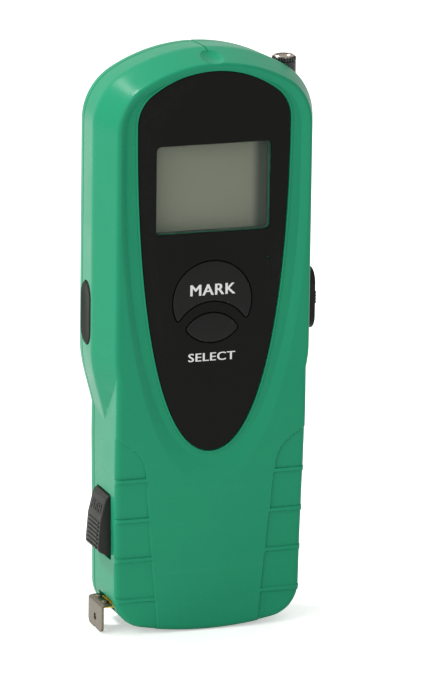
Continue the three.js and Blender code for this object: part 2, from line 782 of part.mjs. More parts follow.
/** Rivet through the hook's tab and the blade. */
function hookRivet(depth) {
  const top = BLADE_TOP + 1.2;
  const under = BLADE_TOP - TAPE.blade - 0.3;
  return rodUp(HOOK.rivetX, depth, 0.6, under - 0.3, top + 0.4, 12)
    .add(rodUp(HOOK.rivetX, depth, 1.2, top, top + 0.4, 12))
    .add(rodUp(HOOK.rivetX, depth, 1.2, under - 0.3, under, 12));
}

/** Ribbed wedge on the left side of the handle: pressing its thick end brakes the spool. */
function tapeLock() {
  const { front, back, low, high, pivotX, pivotHeight } = LOCK;
  const skin = -HANDLE.waistHalf;
  const profile = new THREE.Shape();
  profile.moveTo(skin - 0.6, high);
  profile.lineTo(skin - 1.3, high - 1);
  profile.lineTo(skin - 3, 37.6);
  const ribs = 7;
  const pitch = 1.35;
  for (let i = 0; i < ribs; i += 1) {
    const z = 37 - i * pitch;
    const lean = 0.12 * i;
    profile.lineTo(skin - 3.5 - lean, z);
    profile.lineTo(skin - 3.5 - lean, z - pitch * 0.55);
    profile.lineTo(skin - 3 - lean, z - pitch * 0.7);
  }
  profile.lineTo(skin - 3.4, 27.2);
  profile.lineTo(skin - 0.4, low);
  profile.lineTo(pivotX - 1.4, low + 0.6);
  profile.lineTo(pivotX - 1.4, high);
  const cap = slab(profile, front, back);
  const arm = new THREE.Shape();
  arm.moveTo(pivotX - 2, pivotHeight + 1.6);
  arm.lineTo(pivotX + 1.6, pivotHeight + 1.6);
  arm.lineTo(pivotX + 2, pivotHeight - 4);
  arm.lineTo(-16.6, 29);
  arm.lineTo(-16.6, 25.6);
  arm.lineTo(-19, 25.6);
  arm.lineTo(pivotX - 2, pivotHeight - 9);
  return cap
    .add(slab(arm, front - 3, back + 3))
    .subtract(rodBack(pivotX, pivotHeight, 1.35, 26, 2, 16));
}

/** Pin that the tape lock pivots on. */
function lockPin() {
  return rodBack(LOCK.pivotX, LOCK.pivotHeight, 1, 23.4, 6, 16);
}

// ---------------------------------------------------------------- fasteners

/** Pan-head screw driven in from the back. */
function backScrew(x, z, headRadius, head, shankRadius, tip) {
  const slot = headRadius * 0.75;
  return rodBack(x, z, headRadius, head + 1.1, head, 12)
    .add(rodBack(x, z, shankRadius, tip, head + 0.5, 8))
    .subtract(block([x - slot, -head - 0.5, z - 0.3], [x + slot, 1 - head, z + 0.3]));
}

// ---------------------------------------------------------------- assembly

const tool = new THREE.Group();

/** Finish of one piece. */
const finish = (color, roughness, metalness = 0) => ({ color, roughness, metalness });
const green = finish(0x2d8c69, 0.45);
const black = finish(0x20201e, 0.4);
const darkKey = finish(0x2c2c2b, 0.55);
const steel = finish(0x9a9186, 0.35, 1);
const brass = finish(0xb08a6a, 0.3, 1);
const boardGreen = finish(0x1f5a36, 0.5);
const tinned = finish(0xb9b9b6, 0.3, 1);
const glass = finish(0xd8e4de, 0.1);
const display = finish(0x7a7e6e, 0.25);
const copper = finish(0xb8734a, 0.4, 0.8);
const cellWrap = finish(0x30343a, 0.4, 0.3);
const rubber = finish(0x6f6a70, 0.8);
const ivory = finish(0xe6dfc8, 0.5);
const yellow = finish(0xe3c43a, 0.4);
const red = finish(0xb3261e, 0.5);

/** Adds one named piece to the tool. */
function piece(name, body, look) {
  const mesh = new THREE.Mesh(geometryOf(body), new THREE.MeshStandardMaterial(look));
  mesh.name = name;
  tool.add(mesh);
}

piece('front_case', frontCase(), green);
piece('rear_case', rearCase(), green);
piece('face_panel', facePanel(), black);
piece('lcd_lens', lcdLens(), glass);
piece('lcd_frame', lcdFrame(), black);
piece('lcd_glass', lcdGlass(), display);
piece('zebra_strip', zebraStrip(), rubber);
piece('mark_button', keyCap(markShape(), markShape(KEY.flange), KEY_SWITCH.markHeight), darkKey);
piece('select_button', keyCap(selectShape(), selectShape(KEY.flange), KEY_SWITCH.selectHeight), darkKey);
piece('mark_switch', keySwitch(KEY_SWITCH.markHeight), tinned);
piece('select_switch', keySwitch(KEY_SWITCH.selectHeight), tinned);
piece('scan_button', scanButton(), darkKey);
piece('scan_switch', scanSwitch(), tinned);
piece('laser_switch_plate', laserSwitchPlate(), black);
piece('laser_slider', laserSlider(), black);
piece('laser_switch_body', laserSwitchBody(), tinned);
piece('main_board', mainBoard(), boardGreen);
piece('controller_chip', block([-12, -15.1, 118], [-2, -13.7, 128]), black);
piece('buzzer', buzzer(), black);
piece('sensor_board', sensorBoard(), boardGreen);
piece('metal_coil', metalCoil(), copper);
piece('laser_barrel', laserBarrel(), black);
piece('laser_lens_ring', laserLensRing(), brass);
piece('laser_lens', laserLens(), glass);
piece('battery', battery(), cellWrap);
piece('battery_snap', batterySnap(), black);
piece('battery_lead_red', batteryLead(0), red);
piece('battery_lead_black', batteryLead(2.4), black);
piece('battery_door', batteryDoor(), green);
piece('tape_drum', tapeDrum(), ivory);
piece('tape_coil', tapeCoil(), yellow);
piece('reel_spring', reelSpring(), steel);
piece('reel_post', reelPost(), steel);
piece('tape_blade', tapeBlade(), yellow);
piece('end_hook', endHook(), steel);
rivetPlaces().forEach((depth, i) => piece(`hook_rivet_${i + 1}`, hookRivet(depth), steel));
piece('tape_lock', tapeLock(), darkKey);
piece('lock_pin', lockPin(), steel);
CASE_SCREWS.forEach(([x, z], i) => {
  piece(`case_screw_${i + 1}`, backScrew(x, z, 2.3, 0.4, 1, 13), steel);
});
BOARD_SCREWS.forEach(([x, z], i) => {
  piece(`board_screw_${i + 1}`, backScrew(x, z, 2, BOARD.back - 1.2, 0.85, 21.5), steel);
});

tool.position.z = -BACK_CENTRE;

export default tool;
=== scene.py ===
"""Looks of a hand-held wall detector with a laser level and a pull-out tape.

Every size in this file is in millimetres, counted like the case drawing: x to the user's right,
depth forwards from the flat back, height above the foot. Solids are made in those millimetres and
moved to the row frame, in metres, when they are finished.
"""

from __future__ import annotations

import json
import logging
import math
from collections.abc import Callable, Sequence
from dataclasses import dataclass, field
from enum import Enum

import bmesh
import bpy
import numpy as np
from mathutils import Matrix, Vector
from mathutils.geometry import delaunay_2d_cdt

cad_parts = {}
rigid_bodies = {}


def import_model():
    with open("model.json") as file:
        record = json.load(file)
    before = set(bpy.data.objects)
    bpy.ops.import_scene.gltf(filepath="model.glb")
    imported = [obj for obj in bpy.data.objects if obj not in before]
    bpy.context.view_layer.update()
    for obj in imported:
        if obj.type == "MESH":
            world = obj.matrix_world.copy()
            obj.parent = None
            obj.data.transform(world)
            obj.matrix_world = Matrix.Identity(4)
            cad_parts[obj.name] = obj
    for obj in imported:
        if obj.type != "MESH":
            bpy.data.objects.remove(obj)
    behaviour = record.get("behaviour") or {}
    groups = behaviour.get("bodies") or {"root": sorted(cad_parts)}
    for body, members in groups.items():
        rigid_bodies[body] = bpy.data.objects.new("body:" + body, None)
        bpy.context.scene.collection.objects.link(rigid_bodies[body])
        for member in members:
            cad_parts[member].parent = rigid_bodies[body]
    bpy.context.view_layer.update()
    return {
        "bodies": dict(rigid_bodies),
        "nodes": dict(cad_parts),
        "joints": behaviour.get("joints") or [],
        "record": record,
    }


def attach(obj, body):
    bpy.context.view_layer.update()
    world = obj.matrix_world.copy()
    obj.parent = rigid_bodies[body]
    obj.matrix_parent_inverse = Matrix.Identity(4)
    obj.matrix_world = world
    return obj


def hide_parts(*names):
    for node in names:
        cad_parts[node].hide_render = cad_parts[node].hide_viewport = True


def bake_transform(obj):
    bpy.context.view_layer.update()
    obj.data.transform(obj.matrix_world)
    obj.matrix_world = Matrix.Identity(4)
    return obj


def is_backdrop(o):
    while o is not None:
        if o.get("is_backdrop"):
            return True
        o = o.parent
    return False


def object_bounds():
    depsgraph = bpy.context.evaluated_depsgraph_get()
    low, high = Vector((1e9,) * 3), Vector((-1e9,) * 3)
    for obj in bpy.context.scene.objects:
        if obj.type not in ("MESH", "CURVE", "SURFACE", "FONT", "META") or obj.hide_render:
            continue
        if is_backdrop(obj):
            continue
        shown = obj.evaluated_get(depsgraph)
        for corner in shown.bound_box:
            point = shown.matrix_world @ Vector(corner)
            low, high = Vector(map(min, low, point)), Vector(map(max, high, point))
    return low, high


LOG = logging.getLogger("wall_detector")
METRE = 0.001
ORIGIN_HEIGHT = 95.0  # height of the frame's origin above the foot

Row = np.ndarray
Point = tuple[float, float]


# ------------------------------------------------------------------------------ options


class Carve(Enum):
    """What one solid does to another."""

    CUT = "DIFFERENCE"
    ADD = "UNION"
    KEEP = "INTERSECT"


class Facing(Enum):
    """Where a drawn outline looks: its own u and v lie in the plane, w rises out of it."""

    FRONT = "front"
    LEFT = "left"
    RIGHT = "right"
    UP = "up"

    def place(self, u: Row, v: Row, w: Row) -> Row:
        """Turns drawing coordinates into tool coordinates.

        Args:
            u: First coordinate in the drawing.
            v: Second coordinate in the drawing.
            w: Height out of the drawing.

        Returns:
            Points as an array of x, y and height, with y = -depth.
        """
        table = {
            Facing.FRONT: (u, -w, v),
            Facing.LEFT: (-w, -u, v),
            Facing.RIGHT: (w, -u, v),
            Facing.UP: (u, -v, w),
        }
        return np.stack(np.broadcast_arrays(*table[self]), axis=-1).astype(float)


class Ends(Enum):
    """How a row of rings is closed."""

    FLAT = "flat"
    STRIPS = "strips"
    LOOP = "loop"


# ------------------------------------------------------------------------------ outlines


def smooth_rise(value: Row | float, low: float, high: float) -> Row | float:
    """Gives a soft 0 to 1 rise between two values.

    Args:
        value: Where to read the rise.
        low: Value where it leaves 0.
        high: Value where it reaches 1.

    Returns:
        The rise, the same shape as value.
    """
    t = np.clip((np.asarray(value, float) - low) / (high - low), 0.0, 1.0)
    return t * t * (3.0 - 2.0 * t)


def arc(centre: Point, radius: float, start: float, end: float, steps: int) -> Row:
    """Samples a circular arc.

    Args:
        centre: Centre of the arc.
        radius: Radius of the arc.
        start: First angle, in radians.
        end: Last angle, in radians.
        steps: Number of segments.

    Returns:
        Points of the arc, both ends included.
    """
    angle = np.linspace(start, end, steps + 1)
    return np.stack([centre[0] + radius * np.cos(angle), centre[1] + radius * np.sin(angle)], axis=1)


def bezier(a: Point, b: Point, c: Point, d: Point, steps: int) -> Row:
    """Samples a cubic curve.

    Args:
        a: First point.
        b: First handle.
        c: Second handle.
        d: Last point.
        steps: Number of segments.

    Returns:
        Points of the curve, both ends included.
    """
    t = np.linspace(0.0, 1.0, steps + 1)[:, None]
    a_, b_, c_, d_ = (np.array(p, float) for p in (a, b, c, d))
    return (1 - t) ** 3 * a_ + 3 * t * (1 - t) ** 2 * b_ + 3 * t**2 * (1 - t) * c_ + t**3 * d_


@dataclass(frozen=True)
class Outline:
    """Closed curve drawn anticlockwise in the plane of a Facing."""

    points: Row

    @staticmethod
    def rounded_box(centre: Point, half: Point, radius: float, steps: int = 8) -> Outline:
        """Draws an upright rectangle with round corners.

        Args:
            centre: Middle of the rectangle.
            half: Half width and half height.
            radius: Corner radius.
            steps: Segments per corner.

        Returns:
            The outline.
        """
        reach = (half[0] - radius, half[1] - radius)
        signs = ((1, 1), (-1, 1), (-1, -1), (1, -1))
        corners = [
            arc((centre[0] + sx * reach[0], centre[1] + sy * reach[1]), radius,
                i * math.pi / 2, (i + 1) * math.pi / 2, steps)
            for i, (sx, sy) in enumerate(signs)
        ]
        return Outline(np.concatenate(corners)).tidy()

    def tidy(self) -> Outline:
        """Drops repeated points."""
        gap = np.linalg.norm(self.points - np.roll(self.points, 1, axis=0), axis=1)
        return Outline(self.points[gap > 1e-4])

    def even(self, spacing: float) -> Outline:
        """Resamples the outline at an even spacing.

        Args:
            spacing: Wanted distance between points.

        Returns:
            The resampled outline.
        """
        closed = np.vstack([self.points, self.points[:1]])
        run = np.concatenate([[0.0], np.cumsum(np.linalg.norm(np.diff(closed, axis=0), axis=1))])
        count = max(12, int(round(run[-1] / spacing)))
        where = np.linspace(0.0, run[-1], count, endpoint=False)
        return Outline(np.stack([np.interp(where, run, closed[:, k]) for k in (0, 1)], axis=1))

    def softened(self, spacing: float, passes: int) -> Outline:
        """Rounds the corners by averaging neighbours.

        Args:
            spacing: Distance between the points that are averaged.
            passes: How often they are averaged.

        Returns:
            The rounded outline.
        """
        points = self.even(spacing).points
        for _ in range(passes):
            points = (np.roll(points, 1, axis=0) + 2 * points + np.roll(points, -1, axis=0)) / 4
        return Outline(points)

    def grown(self, by: float) -> Outline:
        """Moves every point outwards along its normal.

        Args:
            by: Distance, negative to shrink.

        Returns:
            The offset outline, with as many points.
        """
        ahead = np.roll(self.points, -1, axis=0) - self.points
        ahead /= np.maximum(np.linalg.norm(ahead, axis=1, keepdims=True), 1e-9)
        normal = np.stack([ahead[:, 1], -ahead[:, 0]], axis=1)
        before = np.roll(normal, 1, axis=0)
        miter = normal + before
        miter /= np.maximum(1 + (normal * before).sum(axis=1, keepdims=True), 0.5)
        return Outline(self.points + by * miter)

    def mirrored(self) -> Outline:
        """Flips the outline left to right."""
        return Outline((self.points * np.array([-1.0, 1.0]))[::-1])

    def distance(self, places: Row) -> Row:
        """Measures how far points are from the curve.

        Args:
            places: Points in the plane.

        Returns:
            Distance of each point.
        """
        start = self.points
        along = np.roll(start, -1, axis=0) - start
        length = np.maximum((along**2).sum(axis=1), 1e-12)
        offset = places[:, None, :] - start[None]
        t = np.clip((offset * along[None]).sum(axis=2) / length, 0, 1)
        return np.linalg.norm(offset - t[..., None] * along[None], axis=2).min(axis=1)

    def holds(self, places: Row) -> Row:
        """Tells which points lie inside the curve.

        Args:
            places: Points in the plane.

        Returns:
            True for each point inside.
        """
        start, end = self.points, np.roll(self.points, -1, axis=0)
        x, y = places[:, 0, None], places[:, 1, None]
        crosses = (start[:, 1] > y) != (end[:, 1] > y)
        rise = np.where(np.abs(end[:, 1] - start[:, 1]) < 1e-12, 1e-12, end[:, 1] - start[:, 1])
        at = start[:, 0] + (y - start[:, 1]) * (end[:, 0] - start[:, 0]) / rise
        return (crosses & (x < at)).sum(axis=1) % 2 == 1


# ------------------------------------------------------------------------------ solids


class Blank:
    """A solid in work, in tool millimetres."""

    def __init__(self, points: Row, faces: Sequence[Sequence[int]]) -> None:
        """Makes the solid from points and faces.

        Args:
            points: Corners in tool coordinates.
            faces: Corner numbers of each face.
        """
        mesh = bpy.data.meshes.new("blank")
        mesh.from_pydata([tuple(p) for p in points], [], [list(f) for f in faces])
        work = bmesh.new()
        work.from_mesh(mesh)
        bmesh.ops.remove_doubles(work, verts=work.verts, dist=1e-4)
        bmesh.ops.recalc_face_normals(work, faces=work.faces)
        if work.calc_volume(signed=True) < 0:
            bmesh.ops.reverse_faces(work, faces=work.faces)
        work.to_mesh(mesh)
        work.free()
        self.body = bpy.data.objects.new("blank", mesh)
        bpy.context.scene.collection.objects.link(self.body)

    @classmethod
    def from_rings(cls, rings: Sequence[Row], ends: Ends = Ends.FLAT) -> Blank:
        """Skins a row of rings that have the same number of points.

        Args:
            rings: Rings of points in tool coordinates.
            ends: How the first and last ring are closed.

        Returns:
            The solid.
        """
        count, size = len(rings), len(rings[0])
        faces: list[list[int]] = []
        for level in range(count if ends is Ends.LOOP else count - 1):
            low, high = level * size, (level + 1) % count * size
            for i in range(size):
                j = (i + 1) % size
                faces.append([low + i, low + j, high + j, high + i])
        last = (count - 1) * size
        if ends is Ends.FLAT:
            faces += [list(range(size))[::-1], [last + i for i in range(size)]]
        if ends is Ends.STRIPS:
            for i in range(size // 2 - 1):
                j = size - 1 - i
                faces += [[j, j - 1, i + 1, i], [last + i, last + i + 1, last + j - 1, last + j]]
        return cls(np.concatenate(rings), faces)

    @classmethod
    def stack(cls, outline: Outline, levels: Sequence[Point], facing: Facing = Facing.FRONT) -> Blank:
        """Stacks an outline through (height, growth) levels.

        Args:
            outline: Outline at growth 0.
            levels: Height out of the drawing and growth, lowest first.
            facing: Where the drawing looks.

        Returns:
            The solid.
        """
        rings = []
        for height, growth in levels:
            flat = outline.grown(growth).points
            rings.append(facing.place(flat[:, 0], flat[:, 1], np.full(len(flat), height)))
        return cls.from_rings(rings)

    @classmethod
    def prism(cls, outline: Outline, low: float, high: float, facing: Facing = Facing.FRONT) -> Blank:
        """Makes a straight block of an outline."""
        return cls.stack(outline, [(low, 0.0), (high, 0.0)], facing)

    @classmethod
    def rod(cls, place: Point, radius: float, low: float, high: float, facing: Facing = Facing.FRONT,
            steps: int = 48) -> Blank:
        """Makes a round rod.

        Args:
            place: Where its axis goes through the drawing.
            radius: Its radius.
            low: Height of its lower end.
            high: Height of its upper end.
            facing: Direction of the axis.
            steps: Facets round the axis.

        Returns:
            The rod.
        """
        return cls.turned([(0, low), (radius, low), (radius, high), (0, high)], place, facing, steps)

    @classmethod
    def bead(cls, outline: Outline, section: Sequence[Point], facing: Facing = Facing.FRONT) -> Blank:
        """Runs a closed (growth, height) section round an outline."""
        rings = [facing.place(*outline.grown(g).points.T, np.full(len(outline.points), h)) for g, h in section]
        return cls.from_rings(rings, Ends.LOOP)

    @classmethod
    def box(cls, low: Sequence[float], high: Sequence[float], radius: float = 0.0) -> Blank:
        """Makes a block between two corners given as x, depth and height.

        Args:
            low: Corner with the small values.
            high: Corner with the large values.
            radius: Radius of the upright and lying edges.

        Returns:
            The block.
        """
        (x0, d0, z0), (x1, d1, z1) = low, high
        if not radius:
            return cls.prism(Outline(np.array([[x0, z0], [x1, z0], [x1, z1], [x0, z1]], float)), d0, d1)
        middle, half = ((x0 + x1) / 2, (z0 + z1) / 2), ((x1 - x0) / 2, (z1 - z0) / 2)
        return cls.stack(Outline.rounded_box(middle, half, radius, 4), rounded_wall(d0, d1, radius * 0.8))

    @classmethod
    def turned(cls, profile: Sequence[Point], centre: Point, facing: Facing, steps: int = 48) -> Blank:
        """Turns a closed (radius, height) profile about an axis.

        Args:
            profile: Profile points; radius 0 lies on the axis.
            centre: Where the axis goes through the drawing.
            facing: Direction of the axis.
            steps: Facets round the axis.

        Returns:
            The turned solid.
        """
        angle = np.linspace(0, 2 * math.pi, steps, endpoint=False)
        rings = []
        for radius, height in profile:
            r = max(radius, 2e-5)
            u, v = centre[0] + r * np.cos(angle), centre[1] + r * np.sin(angle)
            rings.append(facing.place(u, v, np.full(steps, height)))
        hollow = min(radius for radius, _ in profile) > 1e-4
        return cls.from_rings(rings, Ends.LOOP if hollow else Ends.FLAT)

    @classmethod
    def pillow(cls, outline: Outline, wall: Sequence[Point], crown: Callable[[Row, Row], Row],
               facing: Facing = Facing.FRONT, spacing: float = 0.7) -> Blank:
        """Makes a cap with an outline for its wall and a free-form top.

        Args:
            outline: Outline at growth 0.
            wall: Height and growth of the wall's levels, lowest first.
            crown: Height of the top from (points, distance to the rim).
            facing: Where the drawing looks.
            spacing: Distance between the points of the top.

        Returns:
            The solid.
        """
        rim = outline.grown(wall[-1][1])
        low, high = rim.points.min(axis=0), rim.points.max(axis=0)
        grid = np.stack(np.meshgrid(np.arange(low[0], high[0], spacing), np.arange(low[1], high[1], spacing)), axis=-1)
        grid = grid.reshape(-1, 2) + spacing / 2
        grid = grid[rim.holds(grid)]
        grid = grid[rim.distance(grid) > spacing * 0.45]
        count = len(rim.points)
        places = [Vector(p) for p in np.vstack([rim.points, grid])]
        edges = [(i, (i + 1) % count) for i in range(count)]
        found = delaunay_2d_cdt(places, edges, [], 1, 1e-5)
        top = np.array([tuple(v) for v in found[0]], float)
        height = crown(top, rim.distance(top))
        rings = [facing.place(*outline.grown(g).points.T, np.full(count, h)) for h, g in wall]
        faces = [list(range(count))[::-1]]
        for level in range(len(rings) - 1):
            a, b = level * count, (level + 1) * count
            faces += [[a + i, a + (i + 1) % count, b + (i + 1) % count, b + i] for i in range(count)]
        start = len(rings) * count
        faces += [[start + i for i in tri] for tri in found[2]]
        edge_height = crown(rim.points, np.zeros(count))
        rings[-1] = facing.place(*rim.points.T, edge_height)
        return cls(np.concatenate([*rings, facing.place(*top.T, height)]), faces)

    def carve(self, how: Carve, *others: Blank) -> Blank:
        """Carves this solid with others, which are used up.

        Args:
            how: What the others do.
            others: The solids to carve with.

        Returns:
            This solid.
        """
        for other in others:
            modifier = self.body.modifiers.new("carve", "BOOLEAN")
            modifier.operation = how.value
            modifier.solver = "MANIFOLD"
            modifier.object = other.body
            graph = bpy.context.evaluated_depsgraph_get()
            mesh = bpy.data.meshes.new_from_object(self.body.evaluated_get(graph))
            self.body.modifiers.clear()
            old, self.body.data = self.body.data, mesh
            bpy.data.meshes.remove(old)
            tool = other.body.data
            bpy.data.objects.remove(other.body)
            bpy.data.meshes.remove(tool)
        return self

    def cut(self, *others: Blank) -> Blank:
        """Cuts other solids away."""
        return self.carve(Carve.CUT, *others)

    def add(self, *others: Blank) -> Blank:
        """Joins other solids on."""
        return self.carve(Carve.ADD, *others)

    def keep(self, *others: Blank) -> Blank:
        """Keeps only what lies in the other solids."""
        return self.carve(Carve.KEEP, *others)

    def bend(self, move: Callable[[Row], Row]) -> Blank:
        """Moves every corner by a rule.

        Args:
            move: Gives the new corners from the old ones.

        Returns:
            This solid.
        """
        co = np.empty(len(self.body.data.vertices) * 3)
        self.body.data.vertices.foreach_get("co", co)
        self.body.data.vertices.foreach_set("co", move(co.reshape(-1, 3)).ravel())
        return self

    def finish(self, name: str, finish: Finish, crease: float = 28.0, soft_edge: float = 0.0) -> bpy.types.Object:
        """Turns the blank into a named piece in the row frame.

        Args:
            name: Name of the piece.
            finish: Its finish.
            crease: Angle in degrees above which an edge stays sharp.
            soft_edge: Radius to round its hard edges with.

        Returns:
            The piece.
        """
        mesh = self.body.data
        work = bmesh.new()
        work.from_mesh(mesh)
        bmesh.ops.remove_doubles(work, verts=work.verts, dist=2e-4)
        bmesh.ops.dissolve_degenerate(work, edges=work.edges, dist=2e-4)
        loose = [v for v in work.verts if not v.link_faces]
        bmesh.ops.delete(work, geom=loose, context="VERTS")
        work.to_mesh(mesh)
        work.free()
        mesh.transform(Matrix.Translation((0, 0, -ORIGIN_HEIGHT * METRE)) @ Matrix.Scale(METRE, 4))
        mesh.shade_smooth()
        mesh.set_sharp_from_angle(angle=math.radians(crease))
        mesh.materials.clear()
        mesh.materials.append(finish.material())
        for polygon in mesh.polygons:
            polygon.material_index = 0
        self.body.name = mesh.name = name
        if soft_edge:
            bevel = self.body.modifiers.new("soft_edge", "BEVEL")
            bevel.width = soft_edge * METRE
            bevel.segments = 3
            bevel.limit_method = "ANGLE"
            bevel.angle_limit = math.radians(35)
            bevel.harden_normals = True
        else:
            weigh = self.body.modifiers.new("even_shading", "WEIGHTED_NORMAL")
            weigh.keep_sharp = True
        return self.body


def rounded_wall(low: float, high: float, radius: float, steps: int = 4) -> list[Point]:
    """Levels of a straight wall whose two ends are rounded.

    Args:
        low: Lowest height.
        high: Highest height.
        radius: Radius at both ends.
        steps: Segments per rounding.

    Returns:
        Height and growth of each level, lowest first.
    """
    turn = [math.pi / 2 * i / steps for i in range(steps + 1)]
    start = [(low + radius * (1 - math.sin(a)), -radius * (1 - math.cos(a))) for a in reversed(turn)]
    start.sort()
    return start + [(high - (h - low), g) for h, g in reversed(start)]


# ------------------------------------------------------------------------------ shared effects


class Effects:
    """Node groups that several finishes use, each built once."""

    made: dict[str, bpy.types.NodeTree] = {}

    @classmethod
    def start(cls, name: str, inputs: dict[str, float | None], outputs: Sequence[str]) -> bpy.types.NodeTree:
        """Makes an empty group with its sockets.

        Args:
            name: Name of the group.
            inputs: Input names and defaults; None makes a vector.
            outputs: Names of the value outputs.

        Returns:
            The group.
        """
        tree = bpy.data.node_groups.new(name, "ShaderNodeTree")
        for label, default in inputs.items():
            kind = "NodeSocketVector" if default is None else "NodeSocketFloat"
            socket = tree.interface.new_socket(label, in_out="INPUT", socket_type=kind)
            if default is not None:
                socket.default_value = default
        for label in outputs:
            tree.interface.new_socket(label, in_out="OUTPUT", socket_type="NodeSocketFloat")
        cls.made[name] = tree
        return tree

    @staticmethod
    def node(tree: bpy.types.NodeTree, kind: str, settings: dict[str, object] | None = None,
             values: dict[str | int, object] | None = None) -> bpy.types.Node:
        """Adds a node.

        Args:
            tree: Where it goes.
            kind: Node type.
            settings: Properties to set on it.
            values: Input values, or output sockets to link in.

        Returns:
            The node.
        """
        made = tree.nodes.new(kind)
        for key, value in (settings or {}).items():
            setattr(made, key, value)
        for key, value in (values or {}).items():
            if isinstance(value, bpy.types.NodeSocket):
                tree.links.new(value, made.inputs[key])
            else:
                made.inputs[key].default_value = value
        return made

    @classmethod
    def math(cls, tree: bpy.types.NodeTree, operation: str, *values: object) -> bpy.types.NodeSocket:
        """Adds a math node and gives its output.

        Args:
            tree: Where it goes.
            operation: Math operation.
            values: Numbers or sockets, in order.

        Returns:
            The result socket.
        """
        return cls.node(tree, "ShaderNodeMath", {"operation": operation}, dict(enumerate(values))).outputs[0]

    @classmethod
    def grain(cls) -> bpy.types.NodeTree:
        """Spark-eroded mould grain: a fine height and a slow change of tone.

        Returns:
            The group.
        """
        if "mould_grain" in cls.made:
            return cls.made["mould_grain"]
        tree = cls.start("mould_grain", {"Vector": None, "Size": 4200.0, "Fineness": 0.5}, ["Height", "Tone"])
        begin = tree.nodes.new("NodeGroupInput")
        end = tree.nodes.new("NodeGroupOutput")
        pits = cls.node(tree, "ShaderNodeTexVoronoi", {"feature": "SMOOTH_F1"},
                        {"Vector": begin.outputs["Vector"], "Scale": begin.outputs["Size"]})
        fine = cls.node(tree, "ShaderNodeTexNoise", {},
                        {"Vector": begin.outputs["Vector"], "Scale": begin.outputs["Size"], "Detail": 3.0,
                         "Roughness": begin.outputs["Fineness"]})
        slow = cls.node(tree, "ShaderNodeTexNoise", {},
                        {"Vector": begin.outputs["Vector"], "Scale": 38.0, "Detail": 3.0})
        height = cls.math(tree, "MULTIPLY_ADD", pits.outputs["Distance"], 0.6, fine.outputs[0])
        tree.links.new(height, end.inputs["Height"])
        tree.links.new(slow.outputs[0], end.inputs["Tone"])
        return tree

    @classmethod
    def handling(cls) -> bpy.types.NodeTree:
        """Uneven gloss from hands and cleaning.

        Returns:
            The group.
        """
        if "handling" in cls.made:
            return cls.made["handling"]
        tree = cls.start("handling", {"Vector": None, "Dull": 0.5, "Bright": 0.35}, ["Roughness"])
        begin = tree.nodes.new("NodeGroupInput")
        end = tree.nodes.new("NodeGroupOutput")
        patch = cls.node(tree, "ShaderNodeTexNoise", {},
                         {"Vector": begin.outputs["Vector"], "Scale": 60.0, "Detail": 4.0, "Distortion": 0.6})
        ramp = cls.node(tree, "ShaderNodeMapRange", {},
                        {"Value": patch.outputs[0], "From Min": 0.35, "From Max": 0.65,
                         "To Min": begin.outputs["Bright"], "To Max": begin.outputs["Dull"]})
        tree.links.new(ramp.outputs[0], end.inputs["Roughness"])
        return tree

    @classmethod
    def edges(cls) -> bpy.types.NodeTree:
        """Mask of the outer edges, broken up a little: edge wear, and on the green case partly a painted highlight
        along its sharp edges such as the ribs.

        Returns:
            The group.
        """
        if "edge_wear_and_highlight_mask" in cls.made:
            return cls.made["edge_wear_and_highlight_mask"]
        tree = cls.start("edge_wear_and_highlight_mask", {"Vector": None, "Amount": 0.3}, ["Mask"])
        begin = tree.nodes.new("NodeGroupInput")
        end = tree.nodes.new("NodeGroupOutput")
        shape = tree.nodes.new("ShaderNodeNewGeometry")
        rim = cls.node(tree, "ShaderNodeMapRange", {},
                       {"Value": shape.outputs["Pointiness"], "From Min": 0.52, "From Max": 0.62})
        worn = cls.node(tree, "ShaderNodeTexNoise", {},
                        {"Vector": begin.outputs["Vector"], "Scale": 700.0, "Detail": 4.0})
        patchy = cls.node(tree, "ShaderNodeMapRange", {}, {"Value": worn.outputs[0], "From Min": 0.3, "From Max": 0.7})
        both = cls.math(tree, "MULTIPLY", rim.outputs[0], patchy.outputs[0])
        tree.links.new(cls.math(tree, "MULTIPLY", both, begin.outputs["Amount"]), end.inputs["Mask"])
        return tree

    @classmethod
    def brushed(cls) -> bpy.types.NodeTree:
        """Fine drawn lines in metal, along the given direction.

        Returns:
            The group.
        """
        if "brushed" in cls.made:
            return cls.made["brushed"]
        tree = cls.start("brushed", {"Vector": None, "Size": 900.0, "Stretch": 0.04, "Bright": 0.25, "Dull": 0.45},
                         ["Height", "Roughness"])
        begin = tree.nodes.new("NodeGroupInput")
        end = tree.nodes.new("NodeGroupOutput")
        pull = cls.node(tree, "ShaderNodeCombineXYZ", {}, {0: begin.outputs["Stretch"], 1: 1.0, 2: 1.0})
        drawn = cls.node(tree, "ShaderNodeVectorMath", {"operation": "MULTIPLY"},
                         {0: begin.outputs["Vector"], 1: pull.outputs[0]})
        lines = cls.node(tree, "ShaderNodeTexNoise", {},
                         {"Vector": drawn.outputs[0], "Scale": begin.outputs["Size"], "Detail": 5.0})
        gloss = cls.node(tree, "ShaderNodeMapRange", {},
                         {"Value": lines.outputs[0], "From Min": 0.3, "From Max": 0.7,
                          "To Min": begin.outputs["Bright"], "To Max": begin.outputs["Dull"]})
        tree.links.new(lines.outputs[0], end.inputs["Height"])
        tree.links.new(gloss.outputs[0], end.inputs["Roughness"])
        return tree

